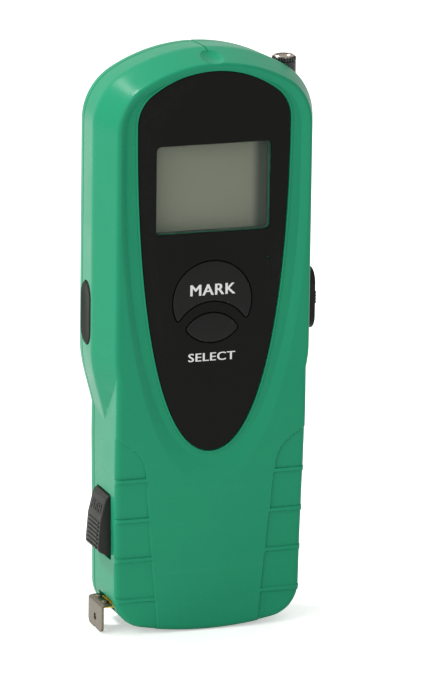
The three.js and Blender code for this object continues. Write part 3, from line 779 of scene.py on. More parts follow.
    @classmethod
    def scale_marks(cls) -> bpy.types.NodeTree:
        """Ticks of a tape rule every millimetre, longer at five and ten.

        Returns:
            The group.
        """
        if "scale_marks" in cls.made:
            return cls.made["scale_marks"]
        tree = cls.start("scale_marks", {"Vector": None, "Edge": 0.0}, ["Mask"])
        begin = tree.nodes.new("NodeGroupInput")
        end = tree.nodes.new("NodeGroupOutput")
        split = cls.node(tree, "ShaderNodeSeparateXYZ", {}, {0: begin.outputs["Vector"]})
        along, across = split.outputs[0], cls.math(tree, "SUBTRACT", begin.outputs["Edge"], split.outputs[1])
        mask = None
        for pitch, reach in ((0.001, 0.002), (0.005, 0.0035), (0.01, 0.005)):
            near = cls.math(tree, "PINGPONG", along, pitch / 2)
            line = cls.math(tree, "GREATER_THAN", near, pitch / 2 - 0.00013)
            inside = cls.math(tree, "LESS_THAN", across, reach)
            tick = cls.math(tree, "MULTIPLY", line, inside)
            mask = tick if mask is None else cls.math(tree, "MAXIMUM", mask, tick)
        tree.links.new(mask, end.inputs["Mask"])
        return tree


# ------------------------------------------------------------------------------ finishes

Colour = tuple[float, float, float]


@dataclass(frozen=True)
class Finish:
    """Moulded or coated surface with grain, uneven gloss and lighter edges; the lighter edges are edge wear, and on the
    green case partly a painted highlight.
    """

    name: str
    colour: Colour
    shade: Colour
    bright: float = 0.35
    dull: float = 0.5
    grain: float = 0.03
    grain_size: float = 4200.0
    metal: float = 0.0
    edge_wear_and_highlight: float = 0.25
    edge_wear_and_highlight_colour: Colour = (0.5, 0.5, 0.5)
    specular: float = 0.5
    coat: float = 0.0
    glow: float = 0.0

    def material(self) -> bpy.types.Material:
        """Gives the finish's material, built on first use."""
        found = bpy.data.materials.get(f"{self.name}_look")
        return found if found else self.build()

    def start(self) -> tuple[bpy.types.Material, bpy.types.NodeTree, bpy.types.Node, bpy.types.NodeSocket]:
        """Makes an empty material.

        Returns:
            The material, its tree, its Principled node and the object coordinates.
        """
        made = bpy.data.materials.new(f"{self.name}_look")
        made.use_nodes = True
        tree = made.node_tree
        shader = tree.nodes["Principled BSDF"]
        shader.inputs["Specular IOR Level"].default_value = self.specular
        shader.inputs["Metallic"].default_value = self.metal
        shader.inputs["Coat Weight"].default_value = self.coat
        if self.glow:
            path = tree.nodes.new("ShaderNodeLightPath")
            glow = Effects.math(tree, "MULTIPLY", path.outputs["Is Camera Ray"], self.glow)
            tree.links.new(glow, shader.inputs["Emission Strength"])
        where = tree.nodes.new("ShaderNodeTexCoord").outputs["Object"]
        return made, tree, shader, where

    def mix(self, tree: bpy.types.NodeTree, factor: object, first: object, second: object) -> bpy.types.NodeSocket:
        """Mixes two colours.

        Args:
            tree: Where the node goes.
            factor: Share of the second colour.
            first: Colour or socket.
            second: Colour or socket.

        Returns:
            The mixed colour.
        """
        pad = [(*c, 1.0) if isinstance(c, tuple) else c for c in (first, second)]
        node = Effects.node(tree, "ShaderNodeMix", {"data_type": "RGBA"}, {0: factor, 6: pad[0], 7: pad[1]})
        return node.outputs[2]

    def surface(self, tree: bpy.types.NodeTree, shader: bpy.types.Node,
                where: bpy.types.NodeSocket) -> bpy.types.NodeSocket:
        """Adds grain, gloss and edges, and gives the colour they make.

        Args:
            tree: The material's tree.
            shader: Its Principled node.
            where: Object coordinates.

        Returns:
            The colour socket, not yet linked.
        """
        grain = Effects.node(tree, "ShaderNodeGroup", {"node_tree": Effects.grain()},
                             {"Vector": where, "Size": self.grain_size})
        gloss = Effects.node(tree, "ShaderNodeGroup", {"node_tree": Effects.handling()},
                             {"Vector": where, "Dull": self.dull, "Bright": self.bright})
        edge = Effects.node(tree, "ShaderNodeGroup", {"node_tree": Effects.edges()},
                            {"Vector": where, "Amount": self.edge_wear_and_highlight})
        bump = Effects.node(tree, "ShaderNodeBump", {}, {"Height": grain.outputs["Height"],
                                                         "Strength": self.grain, "Distance": 0.0002})
        tree.links.new(bump.outputs[0], shader.inputs["Normal"])
        tree.links.new(gloss.outputs["Roughness"], shader.inputs["Roughness"])
        body = self.mix(tree, grain.outputs["Tone"], self.colour, self.shade)
        return self.mix(tree, edge.outputs["Mask"], body, self.edge_wear_and_highlight_colour)

    def build(self) -> bpy.types.Material:
        """Builds the material.

        Returns:
            The new material.
        """
        made, tree, shader, where = self.start()
        tree.links.new(self.surface(tree, shader, where), shader.inputs["Base Color"])
        return made


@dataclass(frozen=True)
class DrawnMetal(Finish):
    """Rolled or drawn metal with fine lines."""

    metal: float = 1.0
    line_size: float = 900.0

    def build(self) -> bpy.types.Material:
        """Builds the material.

        Returns:
            The new material.
        """
        made, tree, shader, where = self.start()
        lines = Effects.node(tree, "ShaderNodeGroup", {"node_tree": Effects.brushed()},
                             {"Vector": where, "Size": self.line_size, "Bright": self.bright, "Dull": self.dull})
        grain = Effects.node(tree, "ShaderNodeGroup", {"node_tree": Effects.grain()}, {"Vector": where, "Size": 1500.0})
        bump = Effects.node(tree, "ShaderNodeBump", {}, {"Height": lines.outputs["Height"],
                                                         "Strength": self.grain, "Distance": 0.0001})
        tree.links.new(bump.outputs[0], shader.inputs["Normal"])
        tree.links.new(lines.outputs["Roughness"], shader.inputs["Roughness"])
        tree.links.new(self.mix(tree, grain.outputs["Tone"], self.colour, self.shade), shader.inputs["Base Color"])
        return made


@dataclass(frozen=True)
class ClearPlastic(Finish):
    """Clear moulded window: mostly open, with a faint tint and a polished skin."""

    body: float = 0.22

    def build(self) -> bpy.types.Material:
        """Builds the material.

        Returns:
            The new material.
        """
        made, tree, shader, where = self.start()
        shader.inputs["Alpha"].default_value = self.body
        gloss = Effects.node(tree, "ShaderNodeGroup", {"node_tree": Effects.handling()},
                             {"Vector": where, "Dull": self.dull, "Bright": self.bright})
        grain = Effects.node(tree, "ShaderNodeGroup", {"node_tree": Effects.grain()}, {"Vector": where})
        tree.links.new(gloss.outputs["Roughness"], shader.inputs["Roughness"])
        tree.links.new(self.mix(tree, grain.outputs["Tone"], self.colour, self.shade), shader.inputs["Base Color"])
        return made


@dataclass(frozen=True)
class ReadoutGlassPaintedShadow(Finish):
    """Display glass with a painted shadow that darkens it softly towards its right edge, inside the window's right
    wall.
    """

    painted_shadow_colour: Colour = (0.08, 0.083, 0.069)
    # begin and end: object x in metres where the painted shadow starts and where it is full.
    begin: float = 0.0136
    end: float = 0.0174

    def build(self) -> bpy.types.Material:
        """Builds the material.

        Returns:
            The new material.
        """
        made, tree, shader, where = self.start()
        body = self.surface(tree, shader, where)
        # Painted shadow: the colour turns to the shadow colour across x from begin to end.
        apart = Effects.node(tree, "ShaderNodeSeparateXYZ", {}, {0: where})
        ramp = Effects.node(tree, "ShaderNodeMapRange", {"interpolation_type": "SMOOTHSTEP"},
                            {"Value": apart.outputs["X"], "From Min": self.begin, "From Max": self.end})
        tree.links.new(self.mix(tree, ramp.outputs["Result"], body, self.painted_shadow_colour), shader.inputs["Base Color"])
        return made


@dataclass(frozen=True)
class TapeEnamel(Finish):
    """Yellow enamel with black millimetre ticks along one edge."""

    ink: Colour = (0.02, 0.02, 0.02)
    edge_depth: float = 7.7

    def build(self) -> bpy.types.Material:
        """Builds the material.

        Returns:
            The new material.
        """
        made, tree, shader, where = self.start()
        body = self.surface(tree, shader, where)
        marks = Effects.node(tree, "ShaderNodeGroup", {"node_tree": Effects.scale_marks()},
                             {"Vector": where, "Edge": -self.edge_depth * METRE})
        tree.links.new(self.mix(tree, marks.outputs["Mask"], body, self.ink), shader.inputs["Base Color"])
        return made


@dataclass(frozen=True)
class Striped(Finish):
    """Wound or etched surface: two colours in fine rings or tracks."""

    second: Colour = (0.2, 0.1, 0.05)
    pitch: float = 0.0006
    centre: tuple[float, float, float] = (0.0, 0.0, 0.0)

    def build(self) -> bpy.types.Material:
        """Builds the material.

        Returns:
            The new material.
        """
        made, tree, shader, where = self.start()
        body = self.surface(tree, shader, where)
        moved = Effects.node(tree, "ShaderNodeVectorMath", {"operation": "SUBTRACT"}, {0: where, 1: self.centre})
        flat = Effects.node(tree, "ShaderNodeVectorMath", {"operation": "MULTIPLY"},
                            {0: moved.outputs[0], 1: (1.0, 0.0, 1.0)})
        far = Effects.node(tree, "ShaderNodeVectorMath", {"operation": "LENGTH"}, {0: flat.outputs[0]})
        wave = Effects.math(tree, "PINGPONG", far.outputs["Value"], self.pitch / 2)
        ring = Effects.math(tree, "MULTIPLY", wave, 2 / self.pitch)
        tree.links.new(self.mix(tree, ring, body, self.second), shader.inputs["Base Color"])
        return made


@dataclass(frozen=True)
class CircuitBoard(Finish):
    """Solder mask with slightly lighter tracks under it."""

    track: Colour = (0.03, 0.2, 0.08)
    cell: float = 260.0

    def build(self) -> bpy.types.Material:
        """Builds the material.

        Returns:
            The new material.
        """
        made, tree, shader, where = self.start()
        body = self.surface(tree, shader, where)
        cells = Effects.node(tree, "ShaderNodeTexVoronoi", {"distance": "CHEBYCHEV", "feature": "F2"},
                             {"Vector": where, "Scale": self.cell})
        inner = Effects.node(tree, "ShaderNodeTexVoronoi", {"distance": "CHEBYCHEV"},
                             {"Vector": where, "Scale": self.cell})
        gap = Effects.math(tree, "SUBTRACT", cells.outputs["Distance"], inner.outputs["Distance"])
        line = Effects.math(tree, "LESS_THAN", gap, 0.12)
        tree.links.new(self.mix(tree, line, body, self.track), shader.inputs["Base Color"])
        return made


# Green case: its light mint edge colour is partly edge wear and partly a painted highlight along the ribs and other
# sharp edges.
GREEN = Finish("case_green", (0.0118, 0.232, 0.117), (0.0145, 0.254, 0.13), 0.25, 0.33, 0.05, 3600.0,
               edge_wear_and_highlight=0.06, edge_wear_and_highlight_colour=(0.12, 0.47, 0.32), specular=0.105)
PANEL = Finish("panel_black", (0.0036, 0.0036, 0.0031), (0.0054, 0.0053, 0.0047), 0.34, 0.44, 0.03, 5200.0,
               edge_wear_and_highlight=0.1, edge_wear_and_highlight_colour=(0.03, 0.03, 0.03), specular=0.1)
KEY_DARK = Finish("key_dark", (0.006, 0.006, 0.0055), (0.0085, 0.0085, 0.008), 0.42, 0.52, 0.06, 3200.0,
                  edge_wear_and_highlight=0.5, edge_wear_and_highlight_colour=(0.06, 0.06, 0.058), specular=0.17)
RUBBER_KEY = Finish("side_key_rubber", (0.006, 0.009, 0.005), (0.009, 0.013, 0.008), 0.5, 0.62, 0.1, 2600.0,
                    edge_wear_and_highlight=0.3, edge_wear_and_highlight_colour=(0.06, 0.07, 0.06), specular=0.13)
LEVER_BLACK = Finish("lever_black", (0.009, 0.009, 0.0075), (0.0145, 0.0145, 0.0115), 0.4, 0.52, 0.12, 2200.0,
                     edge_wear_and_highlight=0.4, edge_wear_and_highlight_colour=(0.10, 0.10, 0.095), specular=0.3)
LEGEND = Finish("legend_white", (0.62, 0.62, 0.61), (0.7, 0.7, 0.69), 0.45, 0.55, 0.02)
CLEAR = ClearPlastic("window_clear", (0.05, 0.075, 0.06), (0.07, 0.1, 0.08), 0.03, 0.06, specular=0.3)
# Display glass with a painted shadow along its right edge.
DISPLAY = ReadoutGlassPaintedShadow("display_grey", (0.39, 0.395, 0.297), (0.425, 0.435, 0.328), 0.3, 0.36, 0.015, edge_wear_and_highlight=0.0,
                       specular=0.2)
FRAME_DARK = Finish("frame_dark", (0.03, 0.034, 0.03), (0.04, 0.045, 0.04), 0.45, 0.55, 0.05)
RUBBER = Finish("rubber_grey", (0.16, 0.14, 0.16), (0.2, 0.18, 0.2), 0.7, 0.85, 0.08)
HOOK_STEEL = DrawnMetal("hook_steel", (0.225, 0.19, 0.14), (0.18, 0.15, 0.11), 0.26, 0.42, 0.1, line_size=1400.0)
STEEL = DrawnMetal("screw_steel", (0.5, 0.5, 0.5), (0.42, 0.42, 0.43), 0.25, 0.4, 0.08)
TINNED = DrawnMetal("tinned_steel", (0.6, 0.6, 0.58), (0.5, 0.5, 0.49), 0.28, 0.4, 0.05)
BRASS = DrawnMetal("ring_brass", (0.47, 0.40, 0.345), (0.38, 0.32, 0.27), 0.2, 0.35, 0.08)
BARREL = Finish("barrel_black", (0.008, 0.008, 0.008), (0.012, 0.012, 0.012), 0.26, 0.38, 0.03, specular=0.3)
BOARD = CircuitBoard("board_green", (0.012, 0.1, 0.04), (0.016, 0.12, 0.05), 0.25, 0.4, 0.05)
CHIP = Finish("chip_black", (0.012, 0.012, 0.012), (0.02, 0.02, 0.02), 0.5, 0.62, 0.08)
COPPER = Striped("coil_copper", (0.5, 0.2, 0.09), (0.58, 0.25, 0.11), 0.3, 0.4, 0.05, metal=0.8,
                 second=(0.2, 0.07, 0.03), centre=(0.0, 0.0, 0.05))
CELL = Finish("cell_wrap", (0.035, 0.04, 0.047), (0.045, 0.05, 0.06), 0.22, 0.35, 0.03, metal=0.4,
              edge_wear_and_highlight_colour=(0.5, 0.5, 0.5))
RED_LEAD = Finish("lead_red", (0.45, 0.015, 0.012), (0.52, 0.02, 0.016), 0.4, 0.5, 0.04)
BLACK_LEAD = Finish("lead_black", (0.015, 0.015, 0.015), (0.02, 0.02, 0.02), 0.4, 0.5, 0.04)
IVORY = Finish("drum_ivory", (0.66, 0.62, 0.5), (0.72, 0.68, 0.55), 0.4, 0.5, 0.04)
SPRING = Striped("spring_steel", (0.3, 0.29, 0.28), (0.36, 0.35, 0.34), 0.3, 0.4, 0.05, metal=1.0,
                 second=(0.08, 0.08, 0.08), centre=(0.004, 0.0, -0.068))
COIL_TAPE = Striped("wound_tape", (0.7, 0.5, 0.04), (0.76, 0.55, 0.05), 0.35, 0.45, 0.04,
                    second=(0.35, 0.24, 0.03), centre=(0.004, 0.0, -0.068))
TAPE = TapeEnamel("blade_yellow", (0.72, 0.52, 0.04), (0.78, 0.57, 0.05), 0.25, 0.35, 0.03)
FLOOR_PAPER = Finish("studio_paper", (0.86, 0.86, 0.86), (0.89, 0.89, 0.89), 0.75, 0.9, 0.02, 900.0,
                     edge_wear_and_highlight=0.0, glow=0.45)


def ride_as(piece: bpy.types.Object, body: str, slot: str, *nodes: str) -> bpy.types.Object:
    """Ties a piece to its body and hides the nodes that it stands for.

    Args:
        piece: The finished piece.
        body: Body that it moves with.
        slot: Finish slot of the record; not used.
        nodes: Nodes that it replaces.

    Returns:
        The piece.
    """
    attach(piece, body)
    if nodes:
        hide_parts(*nodes)
    LOG.info("piece %s on %s: %d faces", piece.name, body, len(piece.data.polygons))
    return piece


def letters(word: str, size: Point, weight: float) -> Blank:
    """Cuts a plain word as a flat slab, centred, with its front at w = 0.

    Args:
        word: The word.
        size: Width and height of the whole word.
        weight: How far the strokes are thickened to each side.

    Returns:
        The slab, 0.3 thick, looking forwards and standing at height 0.
    """
    curve = bpy.data.curves.new("word", "FONT")
    curve.body = word
    curve.size = size[1] / 0.7
    curve.space_character = 1.08
    curve.extrude = 0.15
    curve.resolution_u = 4
    holder = bpy.data.objects.new("word", curve)
    bpy.context.scene.collection.objects.link(holder)
    bpy.context.view_layer.update()
    mesh = bpy.data.meshes.new_from_object(holder.evaluated_get(bpy.context.evaluated_depsgraph_get()))
    flat = np.array([v.co for v in mesh.vertices], float)
    faces = [list(p.vertices) for p in mesh.polygons]
    bpy.data.objects.remove(holder)
    bpy.data.curves.remove(curve)
    bpy.data.meshes.remove(mesh)
    low, high = flat.min(axis=0), flat.max(axis=0)
    wide = size[0] - 2 * weight
    flat = (flat - (low + high) / 2) * np.array([wide / (high[0] - low[0]), size[1] / (high[1] - low[1]), 1.0])
    points = np.stack([flat[:, 0], -(flat[:, 2] - 0.15), flat[:, 1]], axis=1)
    sides = [Blank(points + np.array([way * weight, 0.0, 0.0]), faces) for way in (-1, 1)]
    return Blank(points, faces).add(*sides)


# ------------------------------------------------------------------------------ the two cases


@dataclass
class CaseShells:
    """Deep front case and shallow rear case of the tool."""

    half: float = 36.9
    low_half: float = 31.2
    foot_half: float = 31.3
    waist_half: float = 32.0
    depth: float = 27.8
    handle_depth: float = 26.0
    ridge: float = 15.0
    back_inset: float = 0.8
    crown: float = 190.0
    crown_radius: float = 53.6
    corner_radius: float = 20.0
    bevel_side: float = 4.4
    bevel_crown: float = 3.0
    front_split: float = 3.8
    rear_split: float = 3.5
    dish_floor: float = 26.16
    pad_sink: float = 0.6
    rib_heights: tuple[float, ...] = (11.7, 25.2, 38.4, 51.7)
    screws: tuple[Point, ...] = ((-30.3, 134.0), (30.3, 134.0), (0.0, 181.0), (-20.0, 5.2), (25.0, 9.2))
    wall: float = 2.0

    def face_depth(self, z: Row) -> Row:
        """Depth of the face at a height."""
        return self.handle_depth + (self.depth - self.handle_depth) * smooth_rise(z, 20.0, 78.0)

    def head_rows(self, low: float = 62.0) -> Row:
        """Right-hand outline of the head, with outward normals.

        Args:
            low: Height to start at.

        Returns:
            Rows of x, z, nx and nz.
        """
        corner_x = self.half - self.corner_radius
        crown_z = self.crown - self.crown_radius
        rise = math.sqrt((self.crown_radius - self.corner_radius) ** 2 - corner_x**2)
        meet = math.atan2(rise, corner_x)
        z = np.concatenate([np.arange(62.0, 98.0, 1.0), np.arange(98.0, crown_z + rise - 0.5, 2.6)])
        z = z[z >= low]
        x = self.low_half + (self.half - self.low_half) * smooth_rise(z, 62.0, 93.0)
        side = np.stack([x, z, np.ones_like(z), np.zeros_like(z)], axis=1)
        corner = self.turn_rows((corner_x, crown_z + rise), self.corner_radius, np.linspace(0, meet, 22))
        crown = self.turn_rows((0.0, crown_z), self.crown_radius, np.linspace(meet, math.pi / 2 - 0.004, 30)[1:])
        return np.concatenate([side, corner, crown])

    @staticmethod
    def turn_rows(centre: Point, radius: float, angles: Row) -> Row:
        """Rows of an arc, with outward normals.

        Args:
            centre: Centre of the arc.
            radius: Its radius.
            angles: Angles of the rows, in radians.

        Returns:
            Rows of x, z, nx and nz.
        """
        nx, nz = np.cos(angles), np.sin(angles)
        return np.stack([centre[0] + radius * nx, centre[1] + radius * nz, nx, nz], axis=1)

    def handle_rows(self) -> Row:
        """Right-hand outline of the handle, with outward normals.

        Returns:
            Rows of x, z, nx and nz.
        """
        radius, corner = 118.0, 11.0
        corner_x = self.foot_half - corner
        drop = math.sqrt((radius - corner) ** 2 - corner_x**2)
        meet = math.atan2(-drop, corner_x)
        sole = self.turn_rows((0.0, radius), radius, np.linspace(-math.pi / 2 + 0.004, meet, 14))
        heel = self.turn_rows((corner_x, radius - drop), corner, np.linspace(meet, 0, 16)[1:])
        z = np.arange(radius - drop + 1.5, 100.0, 1.5)
        share = np.clip((z - radius + drop) / (62.0 - radius + drop), 0, 1)
        x = self.foot_half + (self.waist_half - self.foot_half) * share
        return np.concatenate([sole, heel, np.stack([x, z, np.ones_like(z), np.zeros_like(z)], axis=1)])

    @staticmethod
    def loft(rows: Row, levels: Sequence[tuple[Row | float, Row | float]]) -> Blank:
        """Lofts a symmetric solid through (depth, inset) levels.

        Args:
            rows: Right-hand outline with normals.
            levels: Depth and inset, as numbers or one value per row.

        Returns:
            The solid.
        """
        rings = []
        for depth, inset in levels:
            x = rows[:, 0] - rows[:, 2] * inset
            z = rows[:, 1] - rows[:, 3] * inset
            right = np.stack([x, -np.broadcast_to(depth, x.shape), z], axis=1)
            rings.append(np.concatenate([right, (right * np.array([-1, 1, 1]))[::-1]]))
        return Blank.from_rings(rings, Ends.STRIPS)

    def bevel(self, rows: Row) -> Row:
        """Inset of the head's bevel at each row."""
        return self.bevel_side + (self.bevel_crown - self.bevel_side) * rows[:, 3] ** 2

    def handle(self, start: Sequence[Point], sink: float = 0.0) -> Blank:
        """Handle block from its back levels to the rounded face.

        Args:
            start: Back levels.
            sink: How far the face lies under its full height.

        Returns:
            The solid.
        """
        rows = self.handle_rows()
        face = self.face_depth(rows[:, 1]) + 0.02 - 0.08 * smooth_rise(rows[:, 1], 74.0, 84.0) - sink
        turn = np.linspace(0, math.pi / 2, 7)
        edge = [(face - 1.7 * (1 - math.sin(a)), 1.7 * (1 - math.cos(a))) for a in turn]
        return self.loft(rows, [*start, (face - 2.3, 0.0), *edge, (face, 2.3)])

    def head(self, start: Sequence[Point]) -> Blank:
        """Head block with its ridge, bevel and rounded crest.

        Args:
            start: Back levels.

        Returns:
            The solid.
        """
        rows = self.head_rows()
        face, wide = self.face_depth(rows[:, 1]), self.bevel(rows)
        slope = wide / (face - 0.5 - self.ridge)
        corner = slope * (face - self.ridge)
        tilt = self.back_inset / self.ridge
        levels = [*start, (self.ridge - 1.6, 1.6 * tilt), (self.ridge - 0.8, 0.8 * tilt + 0.01), (self.ridge, 0.08),
                  (self.ridge + 0.8, 0.8 * slope + 0.01), (self.ridge + 1.6, 1.6 * slope)]
        levels += [(face - 3.0, corner - 3.0 * slope), (face - 2.0, corner - 2.0 * slope)]
        for t in np.linspace(0, 1, 7):
            depth = face - 1.2 * (1 - t) ** 2
            levels.append((depth, corner - 1.2 * slope * (1 - t) ** 2 + 1.1 * t * t))
        return self.loft(rows, [*levels, (face, corner + 1.7)])

    def dish(self) -> Blank:
        """Cutter of the shallow dish, with a soft crest and a clear valley.

        Returns:
            The cutter.
        """
        rows = self.head_rows(150.0)
        wide = self.bevel(rows)

        def ring(inset: float) -> Row:
            """Outline of the dish at an inset from the crest.

            Args:
                inset: Distance inside the crest.

            Returns:
                The closed outline.
            """
            half = self.half - self.bevel_side - inset
            bottom = 48.3 + (inset - 0.9) * 3.7
            curve = bezier((0, bottom), (21 - inset, bottom), (half, 98), (half, 150), 60)
            total = wide + inset
            crest = np.stack([rows[:, 0] - rows[:, 2] * total, rows[:, 1] - rows[:, 3] * total], axis=1)
            right = np.concatenate([curve[1:-1], crest[1:]])
            return np.concatenate([curve[:1], right, (right * np.array([-1.0, 1.0]))[::-1]])

        insets = [0.75, 0.9, 1.15, 1.5, 1.9, 2.35, 2.75, 3.05, 3.25, 3.45]
        rings = []
        outer = ring(insets[0])
        rings.append(Facing.FRONT.place(outer[:, 0], outer[:, 1], np.full(len(outer), 33.0)))
        for inset in insets:
            flat = ring(inset)
            fall = (inset - insets[0]) / (insets[-1] - insets[0])
            fall = 1 - (1 - fall**1.5) ** 1.15
            top = self.face_depth(flat[:, 1]) + 0.05
            rings.append(Facing.FRONT.place(flat[:, 0], flat[:, 1], top + (self.dish_floor - top) * fall))
        return Blank.from_rings(rings)

    def pad_outline(self, side: int, low: float, high: float) -> Outline:
        """Outline of one sunk grip pad.

        Args:
            side: -1 for the left, 1 for the right.
            low: Height of its lower edge.
            high: Height of its upper edge; above 60 it ends in the sloping curve.

        Returns:
            The outline.
        """
        inner = [(18.0 + (z - 11.7) * 0.09, z) for z in (low, min(high, 53.0))]
        points = [inner[0], (36.0, low)]
        if high > 60:
            bend = bezier((31, 65.6), (24.5, 61.5), (22.3, 59.5), (21.7, 53), 14)
            points += [(36.0, 69.0), (34.5, 68.0), *map(tuple, bend)]
        else:
            points += [(36.0, high), inner[1]]
        flat = Outline(np.array(points, float)).even(0.5)
        return flat if side > 0 else flat.mirrored()

    def grip_cuts(self) -> list[Blank]:
        """Cutters of the pads between the ribs, with sloping, rounded walls.

        Returns:
            One cutter per pad.
        """
        cuts = []
        half_rib = 0.65
        slope = [(-1.5, -0.14), (0.1, -0.14), (0.3, -0.02), (0.45, 0.1), (0.62, 0.32), (3.0, 0.4)]
        starts = [-3.0, *[h + half_rib for h in self.rib_heights]]
        ends = [*[h - half_rib for h in self.rib_heights], 67.0]
        for side in (-1, 1):
            for low, high in zip(starts, ends):
                base = float(self.face_depth(np.array((max(low, 0) + high) / 2))) - self.pad_sink
                cuts.append(Blank.stack(self.pad_outline(side, low, high), [(base + h, g) for h, g in slope]))
        return cuts

    def openings(self, panel: Outline, window: Outline, keys: Sequence[Outline]) -> list[Blank]:
        """Openings of the front case.

        Args:
            panel: Outline of the face panel.
            window: Outline of the display window.
            keys: Outlines of the two face keys.

        Returns:
            The cutters.
        """
        oval = Outline.rounded_box((8.9, 104.0), (4.9, 10.2), 4.85, 14)
        flare = [(33.0, 0.3), (36.4, 0.3), (36.75, 0.42), (37.3, 0.9)]
        slot = Outline.rounded_box((14.2, 9.05), (7.0, 1.85), 0.6, 5)
        lock = Outline.rounded_box((13.85, 35.2), (7.05, 10.8), 0.8, 5)
        side_flare = [(25.0, 0.0), (31.0, 0.0), (31.6, 0.15), (32.5, 0.75), (40.0, 0.75)]
        cuts = [
            Blank.stack(panel, [(25.4, 0.15), (34.0, 0.15)]),
            Blank.stack(window, [(24.4, 1.0), (26.5, 1.0)]),
            Blank.prism(window, 20.0, 26.5),
            *[Blank.stack(key, [(20.0, 0.3), (26.5, 0.3)]) for key in keys],
            Blank.stack(oval, flare, Facing.LEFT),
            Blank.prism(Outline.rounded_box((8.9, 103.9), (2.0, 4.9), 0.6), 30.0, 40.0, Facing.RIGHT),
            Blank.stack(slot, side_flare, Facing.LEFT),
            Blank.stack(lock, side_flare, Facing.LEFT),
            Blank.rod((29.3, 8.0), 4.2, 160, 196, Facing.UP),
            Blank.rod((29.3, 8.0), 4.25, 175, 196, Facing.UP),
        ]
        return cuts

    def room(self) -> list[Blank]:
        """Hollow of the closed case.

        Returns:
            The handle's block and the head's block.
        """
        rows, head = self.handle_rows(), self.head_rows()
        slope = (23.4 - self.ridge) / (self.depth - self.ridge)
        return [
            self.loft(rows, [(self.wall, self.wall), (23.8, self.wall)]),
            self.loft(head, [(self.wall, self.back_inset + self.wall), (self.ridge, self.wall),
                             (23.4, self.bevel(head) * slope + self.wall + 0.6)]),
        ]

    def crown_marks(self) -> list[Blank]:
        """Cutters of the oval thumb mark on the crown's bevel and of the groove behind it.

        Returns:
            The two cutters.
        """
        radius, sink, depth = 6.0, 1.15, 22.8
        slope = self.bevel_crown / (self.depth - 0.5 - self.ridge)
        tilt = math.atan(slope)
        middle = np.array([0.0, -depth, self.crown - (depth - self.ridge) * slope])
        along = np.array([0.0, -math.cos(tilt), -math.sin(tilt)])
        out = np.array([0.0, -math.sin(tilt), math.cos(tilt)])

        def seat(co: Row) -> Row:
            """Stretches the ball along the bevel and sets it on the surface.

            Args:
                co: Corners of the ball around the origin.

            Returns:
                The moved corners.
            """
            spread = co[:, :1] * np.array([1.12, 0.0, 0.0]) - co[:, 1:2] * 1.5 * along
            return middle + spread + (co[:, 2:] + radius - sink) * out

        turns = np.linspace(0, math.pi, 33)
        profile = [(radius * math.sin(a), -radius * math.cos(a)) for a in turns]
        ball = Blank.turned(profile, (0.0, 0.0), Facing.UP, 64).bend(seat)
        line = [(2.0, 188.85), (3.8, 188.95), (15.0, 189.55), (18.4, 188.72), (18.4, 192.0), (2.0, 192.0)]
        groove = Blank.prism(Outline(np.array(line)), -0.28, 0.28, Facing.RIGHT)
        return [ball, groove]

    def front(self, panel: Outline, window: Outline, keys: Sequence[Outline]) -> bpy.types.Object:
        """Builds the front case.

        Args:
            panel: Outline of the face panel.
            window: Outline of the display window.
            keys: Outlines of the two face keys.

        Returns:
            The piece.
        """
        lip = self.front_split
        start = [(lip, 0.22), (lip + 0.15, 0.06), (lip + 0.35, 0.0)]
        tilt = [(d, i + self.back_inset * (1 - d / self.ridge)) for d, i in start]
        grip = self.handle(start).cut(*self.grip_cuts())
        grip.add(self.handle([(lip, 0.22), (lip + 0.15, 0.06), (lip + 0.35, 0.0)], self.pad_sink))
        shell = grip.add(self.head(tilt))
        shell.cut(*self.room())
        ribs = [Blank.box((-31, lip + 1, z), (31, 25.0, z + 1.2)) for z in (51.2, 83.1)]
        posts = [Blank.rod(place, 2.6, lip, 24.0, steps=24) for place in self.screws]
        posts.append(Blank.rod((-28.2, 44.0), 2.2, 21.5, 24.0, steps=24))
        posts.append(Blank.rod((4.0, 27.0), 3.6, 22.9, 24.0, steps=24))
        shell.add(*ribs, *posts)
        shell.cut(self.dish())
        bead = [(0.9, 25.6), (0.78, 26.3), (0.62, 26.46), (0.42, 26.52), (0.2, 26.5), (0.0, 26.4), (0.0, 25.6)]
        shell.add(Blank.bead(panel, bead))
        shell.cut(*self.openings(panel, window, keys), *self.crown_marks())
        shell.cut(*[Blank.rod(place, 1.35, 0, 14, steps=16) for place in self.screws])
        piece = shell.finish("front_case_shell", GREEN, 24.0)
        return ride_as(piece, "root", "case_green", "front_case")

